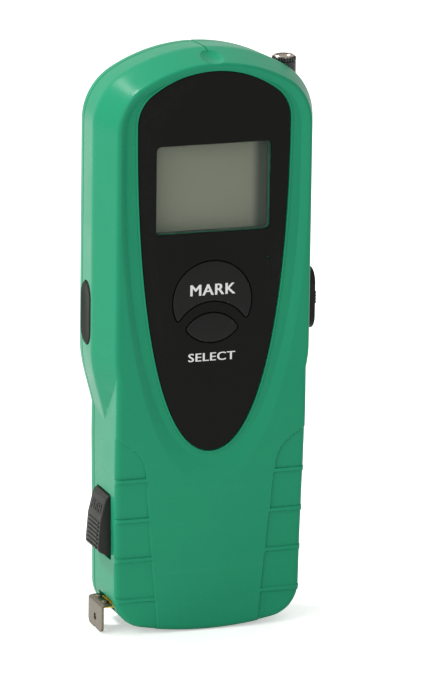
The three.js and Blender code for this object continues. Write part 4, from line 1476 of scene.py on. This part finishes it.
    def rear(self) -> bpy.types.Object:
        """Builds the rear case with its screw pockets, battery bay, label recess and finger grooves.

        Returns:
            The piece.
        """
        lip = self.rear_split
        tilt = self.back_inset / self.ridge
        ends = [(0.0, 0.9), (0.12, 0.5), (0.4, 0.16), (0.9, 0.0), (lip - 0.3, 0.0), (lip - 0.12, 0.05), (lip, 0.2)]
        handle = self.loft(self.handle_rows(), ends)
        head = self.loft(self.head_rows(), [(d, i + self.back_inset - d * tilt) for d, i in ends])
        shell = handle.add(head).cut(*self.room())
        shell.add(*[Blank.rod(place, 3.6, 1, lip, steps=28) for place in self.screws])
        pocket = [(0, -1), (3.2, -1), (3.2, 0.0), (2.75, 0.35), (2.75, 1.8), (0, 1.8)]
        shell.cut(*[Blank.turned(pocket, p, Facing.FRONT, 32) for p in self.screws])
        shell.cut(*[Blank.rod(place, 1.35, -1, 5, steps=16) for place in self.screws])
        bay = Outline.rounded_box((0, 67.55), (25.7, 14.95), 0.6, 5)
        shell.cut(Blank.stack(bay, [(-2, 0.55), (0.0, 0.3), (0.3, 0.0), (5, 0.0)]))
        label = Outline.rounded_box((0, 145), (22, 26), 3.0, 8)
        shell.cut(Blank.stack(label, [(-2, 0.3), (0.0, 0.18), (0.3, 0.0)]))
        shell.cut(*[Blank.box((-14, -1, z), (14, 0.5, z + 1.0)) for z in (18.0, 22.0, 26.0, 30.0, 34.0)])
        notch = Outline(np.array([[-0.3, 188.5], [0.3, 188.5], [0.55, 191.5], [-0.55, 191.5]], float))
        shell.cut(Blank.prism(notch, -1, 5))
        piece = shell.finish("rear_case_shell", GREEN, 24.0)
        return ride_as(piece, "root", "case_green", "rear_case")


# ------------------------------------------------------------------------------ face, display, keys


@dataclass
class Face:
    """Black panel with its window, the display behind it and the two face keys."""

    half: float = 25.5
    bottom: float = 60.0
    top: float = 184.2
    front: float = 26.2
    floor: float = 25.4
    window_half: float = 19.1
    window_low: float = 131.9
    window_high: float = 160.6
    key_top: float = 26.42
    key_crown: float = 0.16
    port: Point = (18.8, 122.4)

    def panel_outline(self) -> Outline:
        """Arched top, sides that draw in to a round bottom.

        Returns:
            The outline.
        """
        corner, crown = 12.0, 35.0
        corner_x, crown_z = self.half - corner, self.top - crown
        rise = math.sqrt((crown - corner) ** 2 - corner_x**2)
        meet = math.atan2(rise, corner_x)
        right = np.concatenate([
            bezier((0, self.bottom), (19.5, self.bottom), (self.half, 120), (self.half, crown_z + rise), 80),
            arc((corner_x, crown_z + rise), corner, 0, meet, 18)[1:],
            arc((0, crown_z), crown, meet, math.pi / 2, 26)[1:],
        ])
        left = (right * np.array([-1.0, 1.0]))[::-1]
        return Outline(np.concatenate([right, left[1:-1]])).tidy()

    def window_outline(self) -> Outline:
        """Display window."""
        middle = (self.window_low + self.window_high) / 2
        return Outline.rounded_box((0, middle), (self.window_half, (self.window_high - self.window_low) / 2), 1.5, 8)

    @staticmethod
    def mark_outline() -> Outline:
        """Crescent of the upper key.

        Returns:
            The outline.
        """
        centre, radius, tip_half, tip, notch = 109.3, 13.2, 11.1, 103.3, 109.4
        rise = notch - tip
        hollow = (tip_half**2 + rise**2) / (2 * rise)
        hollow_z = notch - hollow
        outer = math.atan2(tip - centre, tip_half)
        inner = math.asin((tip - hollow_z) / math.hypot(tip_half, tip - hollow_z))
        points = np.concatenate([arc((0, centre), radius, outer, math.pi - outer, 90),
                                 arc((0, hollow_z), hollow, math.pi - inner, inner, 50)])
        return Outline(points).softened(0.22, 14)

    @staticmethod
    def select_outline() -> Outline:
        """Eye of the lower key.

        Returns:
            The outline.
        """
        half, above, below, centre = 8.8, 5.1, 4.6, 100.4
        curves = []
        for height, sign in ((above, 1), (below, -1)):
            radius = (half**2 + height**2) / (2 * height)
            lean = math.atan2(radius - height, half)
            middle = (0.0, centre + sign * (height - radius))
            span = (lean, math.pi - lean) if sign > 0 else (math.pi + lean, 2 * math.pi - lean)
            curves.append(arc(middle, radius, *span, 40))
        return Outline(np.concatenate(curves)).softened(0.2, 12)

    def key_height(self, rim: Row) -> Row:
        """Height of a key's top at a distance from its rim."""
        t = np.clip(rim / 3.5, 0, 1)
        return self.key_top + self.key_crown * t * (2 - t)

    def panel(self) -> bpy.types.Object:
        """Builds the black panel sheet.

        Returns:
            The piece.
        """
        edge = [(self.floor + 0.05, -0.15), (self.front - 0.22, -0.15), (self.front - 0.07, -0.2), (self.front, -0.36)]
        sheet = Blank.stack(self.panel_outline(), edge)
        flare = [(20.0, 0.0), (self.front - 0.2, 0.0), (self.front - 0.06, 0.06), (self.front + 0.06, 0.26)]
        sheet.cut(Blank.stack(self.window_outline(), flare))
        for key in (self.mark_outline(), self.select_outline()):
            rim = [(h, g + 0.28) for h, g in flare]
            sheet.cut(Blank.stack(key, rim))
        sheet.cut(Blank.turned([(0, 20), (0.4, 20), (0.4, 26.05), (0.6, 26.3), (0, 26.3)], self.port, Facing.FRONT, 20))
        return ride_as(sheet.finish("face_sheet", PANEL, 30.0), "root", "panel_black", "face_panel")

    def keys(self) -> None:
        """Builds both face keys with their legends."""
        plan = (("mark", self.mark_outline(), 114.0, "MARK", (15.2, 3.6), 113.3),
                ("select", self.select_outline(), 99.5, "SELECT", (15.8, 2.7), 91.1))
        for name, outline, stem, word, size, place in plan:
            wall = [(22.2, 0.85), (23.1, 0.85), (23.12, 0.0), (25.9, 0.0), (26.18, -0.07), (26.35, -0.2),
                    (self.key_top, -0.42)]
            cap = Blank.pillow(outline, wall, lambda _, rim: self.key_height(rim))
            cap.add(Blank.rod((0, stem), 1.6, 19.9, 22.6, steps=24))
            ride_as(cap.finish(f"{name}_key", KEY_DARK, 40.0), f"{name}_key", "key_dark", f"{name}_button")
            legend = letters(word, size, 0.13 if name == "mark" else 0.1)
            if name == "mark":
                legend.bend(lambda co: self.on_key(co, place, outline))
            else:
                legend.bend(lambda co: co + np.array([0.0, -self.front - 0.03, place]))
            piece = legend.finish(f"{name}_legend", LEGEND, 30.0)
            ride_as(piece, "mark_key" if name == "mark" else "root", "key_dark" if name == "mark" else "panel_black")

    def on_key(self, co: Row, place: float, outline: Outline) -> Row:
        """Lays a legend on a key's crowned top.

        Args:
            co: Corners of the legend.
            place: Height of its middle.
            outline: Outline of the key.

        Returns:
            The corners on the key.
        """
        moved = co + np.array([0.0, 0.0, place])
        rim = outline.grown(-0.42).distance(moved[:, [0, 2]])
        moved[:, 1] -= self.key_height(rim) + 0.03
        return moved

    def display(self) -> None:
        """Builds the clear window, the frame and the display glass."""
        window = self.window_outline()
        lens = Blank.stack(window, [(24.5, 0.45), (24.62, 0.7), (25.1, 0.7), (25.35, 0.35)])
        ride_as(lens.finish("window_lens", CLEAR, 20.0), "root", "window_clear", "lcd_lens")
        frame = Blank.stack(window, [(21.7, 3.2), (23.3, 3.2)]).cut(Blank.prism(window, 21.0, 24.0))
        ride_as(frame.finish("display_frame", FRAME_DARK, 30.0, 0.12), "root", "panel_black", "lcd_frame")
        glass = Blank.stack(window, [(height, 2.8 + inset) for height, inset in rounded_wall(19.3, 21.5, 0.15)])
        ride_as(glass.finish("display_glass", DISPLAY, 30.0), "root", "display_grey", "lcd_glass")

    def build(self) -> None:
        """Builds every piece of the face."""
        self.panel()
        self.keys()
        self.display()


@dataclass
class SideControls:
    """Push key in the left edge and the laser's slide switch in the right edge."""

    depth: float = 8.9
    height: float = 104.0
    half: Point = (4.9, 10.2)
    key_skin: float = 37.06

    def oval(self) -> Outline:
        """Upright oval of both controls."""
        return Outline.rounded_box((self.depth, self.height), self.half, self.half[0] - 0.05, 16)

    def push_key(self) -> bpy.types.Object:
        """Builds the push key.

        Returns:
            The piece.
        """
        wall = [(32.8, 1.1), (33.6, 1.1), (33.62, 0.0), (36.5, 0.0), (36.8, -0.08), (36.99, -0.24),
                (self.key_skin, -0.5)]

        def crown(_: Row, rim: Row) -> Row:
            """Height of the key's hollow top.

            Args:
                _: Points of the top, which don't matter here.
                rim: Distance from the rim.

            Returns:
                The height.
            """
            return self.key_skin - 0.22 * smooth_rise(rim, 0.3, 3.5)

        cap = Blank.pillow(self.oval(), wall, crown, Facing.LEFT)
        cap.add(Blank.box((-33.2, self.depth - 1.2, 102.8), (-31.9, self.depth + 1.2, 105.2)))
        return ride_as(cap.finish("side_push_key", RUBBER_KEY, 40.0), "scan_key", "key_dark", "scan_button")

    def slide_plate(self) -> bpy.types.Object:
        """Builds the oval plate of the slide switch.

        Returns:
            The piece.
        """
        wall = [(37.0, 0.0), (38.95, 0.0), (39.2, -0.06), (39.34, -0.18), (39.4, -0.4)]
        plate = Blank.stack(self.oval(), wall, Facing.RIGHT)
        plate.cut(Blank.stack(self.oval(), [(39.22, -1.1), (40.0, -1.1)], Facing.RIGHT))
        slot = Outline.rounded_box((self.depth, 103.9), (1.9, 4.8), 0.5, 5)
        plate.cut(Blank.prism(slot, 36.0, 42.0, Facing.RIGHT))
        return ride_as(plate.finish("slide_plate", KEY_DARK, 30.0), "root", "panel_black", "laser_switch_plate")

    def slider(self) -> bpy.types.Object:
        """Builds the thumb slide with its grip grooves.

        Returns:
            The piece.
        """
        nub = Outline.rounded_box((self.depth, 103.9), (1.5, 2.2), 0.5, 6)
        body = Blank.stack(nub, [(34.0, 0.0), (40.5, 0.0), (40.8, -0.1), (41.0, -0.5)], Facing.RIGHT)
        body.add(Blank.box((33.2, self.depth - 3.4, 98.5), (34.2, self.depth + 3.4, 109.3)))
        near, far, half_cut = self.depth - 2, self.depth + 2, 0.22
        for z in (102.9, 103.9, 104.9):
            low, high = z - half_cut, z + half_cut
            groove = Outline(np.array([[near, low], [far, low], [far, high], [near, high]]))
            body.cut(Blank.prism(groove, 40.65, 42.0, Facing.RIGHT))
        piece = body.finish("laser_thumb_slide", LEVER_BLACK, 30.0)
        return ride_as(piece, "laser_thumb", "panel_black", "laser_slider")

    def build(self) -> None:
        """Builds both controls."""
        self.push_key()
        self.slide_plate()
        self.slider()


@dataclass
class LaserUnit:
    """Barrel in the right shoulder with its knurled ring and lens."""

    x: float = 29.3
    depth: float = 8.0
    radius: float = 3.9
    top: float = 184.2
    teeth: int = 26

    def build(self) -> None:
        """Builds the barrel, the ring and the lens."""
        at, top, end = (self.x, self.depth), self.top, self.top - 2.0
        wall = [(0, 152.0), (3.6, 152.0), (3.9, 152.4), (3.9, end - 0.3), (3.65, end), (0, end)]
        tube = Blank.turned(wall, at, Facing.UP, 64)
        tube.cut(Blank.rod(at, 2.2, 172.2, 183, Facing.UP, 40))
        ride_as(tube.finish("laser_tube", BARREL, 30.0), "root", "panel_black", "laser_barrel")
        turn = np.linspace(0, 2 * math.pi, self.teeth * 4, endpoint=False)
        radius = self.radius - 0.3 * np.tile([0.0, 0.0, 1.0, 1.0], self.teeth)
        gear = Outline(np.stack([self.x + radius * np.cos(turn), self.depth + radius * np.sin(turn)], axis=1))
        levels = [(end + 0.1, -0.15), (end + 0.3, 0.0), (top - 0.7, 0.0), (top - 0.35, -0.35)]
        collar = Blank.stack(gear, levels, Facing.UP)
        collar.cut(Blank.rod(at, 3.4, end - 1, top + 1, Facing.UP, 64))
        ride_as(collar.finish("laser_collar", BARREL, 30.0), "root", "panel_black")
        disc = [(0, end + 0.1), (3.4, end + 0.1), (3.4, top - 0.24), (3.16, top), (0, top)]
        bore = [(0, end - 1), (1.75, end - 1), (1.75, top - 1.0), (2.5, top - 0.35), (2.62, top + 1), (0, top + 1)]
        bezel = Blank.turned(disc, at, Facing.UP, 64).cut(Blank.turned(bore, at, Facing.UP, 48))
        ride_as(bezel.finish("laser_ring", BRASS, 30.0), "root", "ring_brass", "laser_lens_ring")
        dome = [(0, top - 5), (1.6, top - 5), (1.6, top - 1.5), (1.2, top - 1.15), (0.6, top - 1.03), (0, top - 1)]
        lens = Blank.turned(dome, at, Facing.UP, 40)
        ride_as(lens.finish("laser_glass", CLEAR, 30.0), "root", "window_clear", "laser_lens")


# ------------------------------------------------------------------------------ tape measure


@dataclass
class TapeUnit:
    """Blade, end hook and lock lever of the built-in tape."""

    depth: float = 14.2
    width: float = 13.0
    blade_top: float = 8.7
    blade: float = 0.4
    reel_x: float = 4.0
    hook_outer: float = -34.5
    hook_thick: float = 0.8
    hook_low: float = 0.3
    hook_high: float = 10.4
    pull: float = 1000.0
    lock_front: float = 20.6
    lock_back: float = 7.1
    pivot: Point = (-28.2, 44.0)
    rivets: tuple[float, float] = (10.8, 17.6)
    rivet_x: float = -32.2
    tab_end: float = -31.0

    def hook(self) -> bpy.types.Object:
        """Builds the bent end hook.

        Returns:
            The piece.
        """
        outer, inner, top = self.hook_outer, self.hook_outer + self.hook_thick, self.blade_top + 0.9
        bend = 1.0
        outside = arc((outer + bend + 0.8, top - bend), bend + 0.8, math.pi, math.pi / 2, 10)
        outside[:, 1] = top - bend + (outside[:, 1] - top + bend) * (bend / (bend + 0.8))
        strip = np.concatenate([
            [(outer, -2.0)], outside, [(self.tab_end, top)], [(self.tab_end, top - 0.7)],
            arc((inner + 0.9, top - 0.7 - 0.5), 0.9, math.pi / 2, math.pi, 8), [(inner, -2.0)],
        ])
        body = Blank.stack(Outline(strip[::-1]), [(5.0, 0), (23.0, 0)])
        middle, half = (self.hook_low + self.hook_high) / 2, (self.hook_high - self.hook_low) / 2
        near, far = 30.0, 40.0  # reach of the cutters that work on the plate
        plate = Outline.rounded_box((self.depth, middle), (7.0, half), 2.0, 12)
        notch = Outline.rounded_box((self.depth, -0.6), (1.0, 1.4), 0.5, 5)
        body.keep(Blank.prism(plate, near, far, Facing.LEFT))
        body.cut(Blank.rod((self.depth, 4.0), 1.2, near, far, Facing.LEFT, 32),
                 Blank.prism(notch, near, far, Facing.LEFT))
        body.cut(*[Blank.rod((self.rivet_x, d), 0.75, 0, 20, Facing.UP, 20) for d in self.rivets])
        return ride_as(body.finish("tape_hook", HOOK_STEEL, 35.0, 0.12), "tape_end", "hook_steel", "end_hook")

    def hook_rivets(self) -> None:
        """Builds the two rivets."""
        top, under = self.blade_top + 0.92, self.blade_top - self.blade - 0.3
        for i, depth in enumerate(self.rivets):
            profile = [(0, under - 0.3), (0.8, under - 0.25), (1.15, under), (0.6, under), (0.6, top),
                       (1.2, top), (1.15, top + 0.25), (0.8, top + 0.45), (0.4, top + 0.55), (0, top + 0.58)]
            rivet = Blank.turned(profile, (self.rivet_x, depth), Facing.UP, 32)
            piece = rivet.finish(f"hook_rivet_head_{i + 1}", HOOK_STEEL, 40.0)
            ride_as(piece, "tape_end", "hook_steel", f"hook_rivet_{i + 1}")

    def tongue(self) -> bpy.types.Object:
        """Builds the blade from the spool to the hook.

        Returns:
            The piece.
        """
        end = self.hook_outer + self.hook_thick + 0.35
        stations = np.linspace(self.reel_x, end, 260)
        across = np.linspace(-1, 1, 13)
        depth = self.depth + across * self.width / 2
        sag = 0.12 * across**2
        low = np.stack([depth, self.blade_top - self.blade + sag], axis=1)
        high = np.stack([depth, self.blade_top + sag], axis=1)[::-1]
        section = np.concatenate([low, high])
        rings = [np.stack([np.full(len(section), x), -section[:, 0], section[:, 1]], axis=1) for x in stations]
        piece = Blank.from_rings(rings).finish("tape_tongue", TAPE, 40.0)
        piece.modifiers.clear()
        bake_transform(piece)
        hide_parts("tape_blade")
        LOG.info("piece %s between root and tape_end", piece.name)
        return piece

    def lever(self) -> bpy.types.Object:
        """Builds the ribbed lock lever with its arm.

        Returns:
            The piece.
        """
        skin = -32.0
        outer = [(skin - 0.6, 45.7), (skin - 1.25, 44.7), (skin - 3.0, 37.6), (skin - 3.75, 28.4), (skin - 3.4, 27.2),
                 (skin - 0.4, 25.7), (-29.6, 26.3), (-29.6, 45.7)]
        side = Outline(np.array(outer)).softened(0.25, 8)
        body = Blank.stack(side, rounded_wall(self.lock_back, self.lock_front, 0.45, 5))
        for i in range(7):
            z, x = 36.9 - i * 1.35, skin - 2.9 - 0.11 * i
            bar = Outline.rounded_box((x, z - 0.38), (0.62, 0.37), 0.3, 5)
            body.add(Blank.stack(bar, rounded_wall(8.7, 19.2, 0.3, 3)))
        arm = [(-30.2, 45.6), (-26.6, 45.6), (-26.2, 40.0), (-16.6, 29.0), (-16.6, 25.6), (-19.0, 25.6), (-30.2, 35.0)]
        body.add(Blank.prism(Outline(np.array(arm, float)), self.lock_back + 3, self.lock_front - 3))
        body.cut(Blank.rod(self.pivot, 1.35, 2, 26, steps=24))
        return ride_as(body.finish("tape_lever", LEVER_BLACK, 32.0), "lock_lever", "key_dark", "tape_lock")

    def lever_word(self) -> bpy.types.Object:
        """Builds the raised word on the lever's smooth upper half.

        Returns:
            The piece.
        """
        raised = letters("PUSH", (9.2, 3.2), 0.09)

        def lay(co: Row) -> Row:
            """Turns the word and lays it on the lever's slope.

            Args:
                co: Corners of the word.

            Returns:
                The moved corners.
            """
            z = co[:, 2] + 40.9
            slope = -33.25 - (44.7 - z) * 1.75 / 7.1
            return np.stack([co[:, 1] + slope - 0.16, -co[:, 0] - 13.8, z], axis=1)

        return ride_as(raised.bend(lay).finish("lever_word", LEVER_BLACK, 30.0), "lock_lever", "key_dark")

    def build(self) -> None:
        """Builds every piece of the tape."""
        self.hook()
        self.hook_rivets()
        self.tongue()
        self.lever()
        self.lever_word()


# ------------------------------------------------------------------------------ battery and screws


@dataclass
class BatteryBay:
    """Battery door with its lugs, and the block battery behind it."""

    half: float = 25.4
    low: float = 52.9
    high: float = 82.2
    thick: float = 1.9
    cell_left: float = -26.5
    cell_width: float = 46.5
    cell_low: float = 55.2
    cell_height: float = 26.5
    cell_back: float = 2.6
    cell_depth: float = 17.5

    def door(self) -> bpy.types.Object:
        """Builds the door with its lugs, finger scoop and arrows.

        Returns:
            The piece.
        """
        middle = (self.low + self.high) / 2
        plate = Outline.rounded_box((0, middle), (self.half, (self.high - self.low) / 2), 0.5, 5)
        body = Blank.stack(plate, [(0.0, -0.4), (0.1, -0.14), (0.35, 0.0), (self.thick, 0.0)])
        for x in (-16, 16):
            body.add(Blank.box((x - 3, self.thick + 0.4, self.low - 1.4), (x + 3, self.thick + 1, self.low + 0.7)),
                     Blank.box((x - 3, self.thick - 0.2, self.low), (x + 3, self.thick + 0.6, self.low + 0.7)))
        scoop = Outline.rounded_box((0, self.high - 4.6), (8.0, 3.3), 3.2, 14)
        body.cut(Blank.stack(scoop, [(-1.0, 0.25), (0.0, 0.12), (0.2, -0.1), (0.55, -0.6), (0.8, -1.3), (0.9, -2.2)]))
        grips = [self.high - z for z in (6.4, 4.9, 3.4)]
        body.add(*[Blank.box((-6.0, 0.45, z), (6.0, 1.2, z + 0.5), 0.15) for z in grips])
        arrow = Outline(np.array([[-2.2, 60.6], [0.0, 58.0], [2.2, 60.6], [1.4, 61.2], [0.0, 59.5], [-1.4, 61.2]]))
        body.cut(*[Blank.prism(Outline(arrow.points + np.array([0, dz])), -1, 0.3) for dz in (0.0, 2.4, 4.8)])
        return ride_as(body.finish("battery_cover_plate", GREEN, 28.0), "battery_cover", "case_green", "battery_door")

    def cell(self) -> None:
        """Builds the battery."""
        right = self.cell_left + self.cell_width
        centre = (self.cell_back + self.cell_depth / 2, self.cell_low + self.cell_height / 2)
        shape = Outline.rounded_box(centre, (self.cell_depth / 2, self.cell_height / 2), 1.6, 8)
        rim = [(0.0, -0.7), (0.25, -0.2), (0.6, 0.0), (0.9, -0.12)]
        wall = [(self.cell_left + h, g) for h, g in rim] + [(right - h, g) for h, g in reversed(rim)]
        body = Blank.stack(shape, wall, Facing.RIGHT)
        for dz, radius in ((-6.3, 2.9), (6.3, 3.9)):
            stud = [(0, -0.2), (radius, -0.2), (radius * 0.94, 1.6), (radius, 2.1), (radius * 0.9, 2.3), (0, 2.3)]
            stud = [(out, right + up) for out, up in stud]
            body.add(Blank.turned(stud, (centre[0], centre[1] + dz), Facing.RIGHT, 32))
        ride_as(body.finish("block_cell", CELL, 30.0), "root", "cell_wrap", "battery")

    def build(self) -> None:
        """Builds the door and the battery."""
        self.door()
        self.cell()


@dataclass
class CaseScrews:
    """Cross-head screws in the pockets of the back."""

    places: tuple[Point, ...] = CaseShells.screws
    head: float = 2.3
    top: float = 0.4

    def build(self) -> None:
        """Builds the five screws."""
        for i, place in enumerate(self.places):
            profile = [(0, self.top), (1.1, self.top + 0.03), (1.8, self.top + 0.22), (self.head, self.top + 0.65),
                       (self.head, self.top + 1.1), (1.0, self.top + 1.1), (1.0, 12.2), (0, 13.0)]
            body = Blank.turned(profile, place, Facing.FRONT, 40)
            for half in ((1.35, 0.27), (0.27, 1.35)):
                cross = Outline.rounded_box(place, half, 0.1, 2)
                body.cut(Blank.stack(cross, [(self.top - 1, 0.0), (self.top + 0.1, 0.0), (self.top + 0.8, -0.2)]))
            piece = body.finish(f"cross_screw_{i + 1}", STEEL, 35.0)
            ride_as(piece, "root", "screw_steel", f"case_screw_{i + 1}")


@dataclass
class Inside:
    """Finishes of the inner pieces, which keep their drawn shape."""

    looks: dict[str, Finish] = field(default_factory=lambda: {
        "zebra_strip": RUBBER, "mark_switch": TINNED, "select_switch": TINNED, "scan_switch": TINNED,
        "laser_switch_body": TINNED, "main_board": BOARD, "controller_chip": CHIP, "buzzer": CHIP,
        "sensor_board": BOARD, "metal_coil": COPPER, "battery_snap": CHIP, "battery_lead_red": RED_LEAD,
        "battery_lead_black": BLACK_LEAD, "tape_drum": IVORY, "tape_coil": COIL_TAPE, "reel_spring": SPRING,
        "reel_post": STEEL, "lock_pin": STEEL, **{f"board_screw_{i}": STEEL for i in range(1, 5)},
    })

    def dress(self, nodes: dict[str, bpy.types.Object]) -> None:
        """Gives each inner piece its finish.

        Args:
            nodes: The frame's nodes by name.
        """
        for name, finish in self.looks.items():
            node = nodes[name]
            if not node.material_slots:
                node.data.materials.append(finish.material())
            for slot in node.material_slots:
                slot.material = finish.material()
            LOG.info("dressed %s with %s", name, finish.name)


# ------------------------------------------------------------------------------ studio


@dataclass
class Studio:
    """Pale floor, soft lights and the camera."""

    azimuth: float = 18.85
    elevation: float = 14.53
    roll: float = 0.74
    distance: float = 2.1054
    lens: float = 347.95
    shift: Point = (0.0205, -0.0071)
    target: tuple[float, float, float] = (0.0, -0.013, 0.0)
    sky: float = 0.75

    def camera(self) -> bpy.types.Object:
        """Places the camera.

        Returns:
            The camera.
        """
        a, e, r = (math.radians(v) for v in (self.azimuth, self.elevation, self.roll))
        away = Vector((-math.sin(a) * math.cos(e), -math.cos(a) * math.cos(e), math.sin(e)))
        level = Vector((math.cos(a), -math.sin(a), 0.0))
        rise = away.cross(level)
        right = math.cos(r) * level + math.sin(r) * rise
        up = math.cos(r) * rise - math.sin(r) * level
        place = Vector(self.target) + away * self.distance
        data = bpy.data.cameras.new("camera")
        data.lens, data.sensor_width = self.lens, 36.0
        data.shift_x, data.shift_y = self.shift
        data.clip_start, data.clip_end = 0.01, 50.0
        made = bpy.data.objects.new("camera", data)
        bpy.context.scene.collection.objects.link(made)
        turn = Matrix((right, up, away)).transposed().to_4x4()
        made.matrix_world = Matrix.Translation(place) @ turn
        bpy.context.scene.camera = made
        return made

    def softbox(self, name: str, direction: Sequence[float], distance: float, size: Point, power: float,
                aim: Sequence[float] = (0.0, -0.013, 0.0), warmth: Colour = (1.0, 1.0, 1.0)) -> bpy.types.Object:
        """Places a soft light that looks at the tool.

        Args:
            name: Name of the light.
            direction: Where it stands, seen from the tool.
            distance: How far it stands.
            size: Its width and height.
            power: Its power in watts.
            aim: What it looks at.
            warmth: Its colour.

        Returns:
            The light.
        """
        data = bpy.data.lights.new(name, "AREA")
        data.shape, data.size, data.size_y = "RECTANGLE", size[0], size[1]
        data.energy, data.color = power, warmth
        made = bpy.data.objects.new(name, data)
        bpy.context.scene.collection.objects.link(made)
        way = Vector(direction).normalized()
        made.location = Vector(aim) + way * distance
        made.rotation_euler = way.to_track_quat("Z", "Y").to_euler()
        return made

    def floor(self) -> bpy.types.Object:
        """Lays the floor under the foot.

        Returns:
            The floor.
        """
        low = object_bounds()[0][2] - 0.0002
        steps = 48
        turn = np.linspace(0, 2 * math.pi, steps, endpoint=False)
        work = bmesh.new()
        centre = work.verts.new((0, 0, low))
        before = None
        for radius in (0.3, 1.2, 3.0, 14.0):
            ring = [work.verts.new((radius * math.cos(a), radius * math.sin(a), low)) for a in turn]
            for i in range(steps):
                j = (i + 1) % steps
                inner = [centre] if before is None else [before[j], before[i]]
                work.faces.new([*inner, ring[i], ring[j]])
            before = ring
        mesh = bpy.data.meshes.new("floor")
        work.to_mesh(mesh)
        work.free()
        mesh.materials.append(FLOOR_PAPER.material())
        made = bpy.data.objects.new("floor", mesh)
        bpy.context.scene.collection.objects.link(made)
        made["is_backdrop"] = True
        return made

    def air(self) -> None:
        """Sets the even white surroundings and the plain view."""
        world = bpy.data.worlds.new("studio_air")
        world.use_nodes = True
        world.node_tree.nodes["Background"].inputs["Color"].default_value = (1.0, 1.0, 1.0, 1.0)
        world.node_tree.nodes["Background"].inputs["Strength"].default_value = self.sky
        bpy.context.scene.world = world
        bpy.context.scene.view_settings.view_transform = "Standard"

    def build(self) -> None:
        """Builds the studio."""
        self.camera()
        self.floor()
        self.air()
        self.softbox("shoulder_light", (-0.49, 0.44, 0.75), 1.3, (0.2, 0.2), 14.0, (-0.03, -0.02, 0.08))
        self.softbox("left_light", (-1.0, -0.45, 0.55), 1.6, (1.1, 1.1), 10.0)


def main() -> None:
    """Builds the detector around the frame and sets up the studio."""
    logging.basicConfig(level=logging.INFO, format="%(name)s: %(message)s")
    bpy.ops.object.select_all(action="SELECT")
    bpy.ops.object.delete()
    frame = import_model()
    face = Face()
    case = CaseShells()
    case.front(face.panel_outline(), face.window_outline(), (face.mark_outline(), face.select_outline()))
    case.rear()
    face.build()
    SideControls().build()
    LaserUnit().build()
    TapeUnit().build()
    BatteryBay().build()
    CaseScrews().build()
    Inside().dress(frame["nodes"])
    Studio().build()


if __name__ == "__main__":
    main()
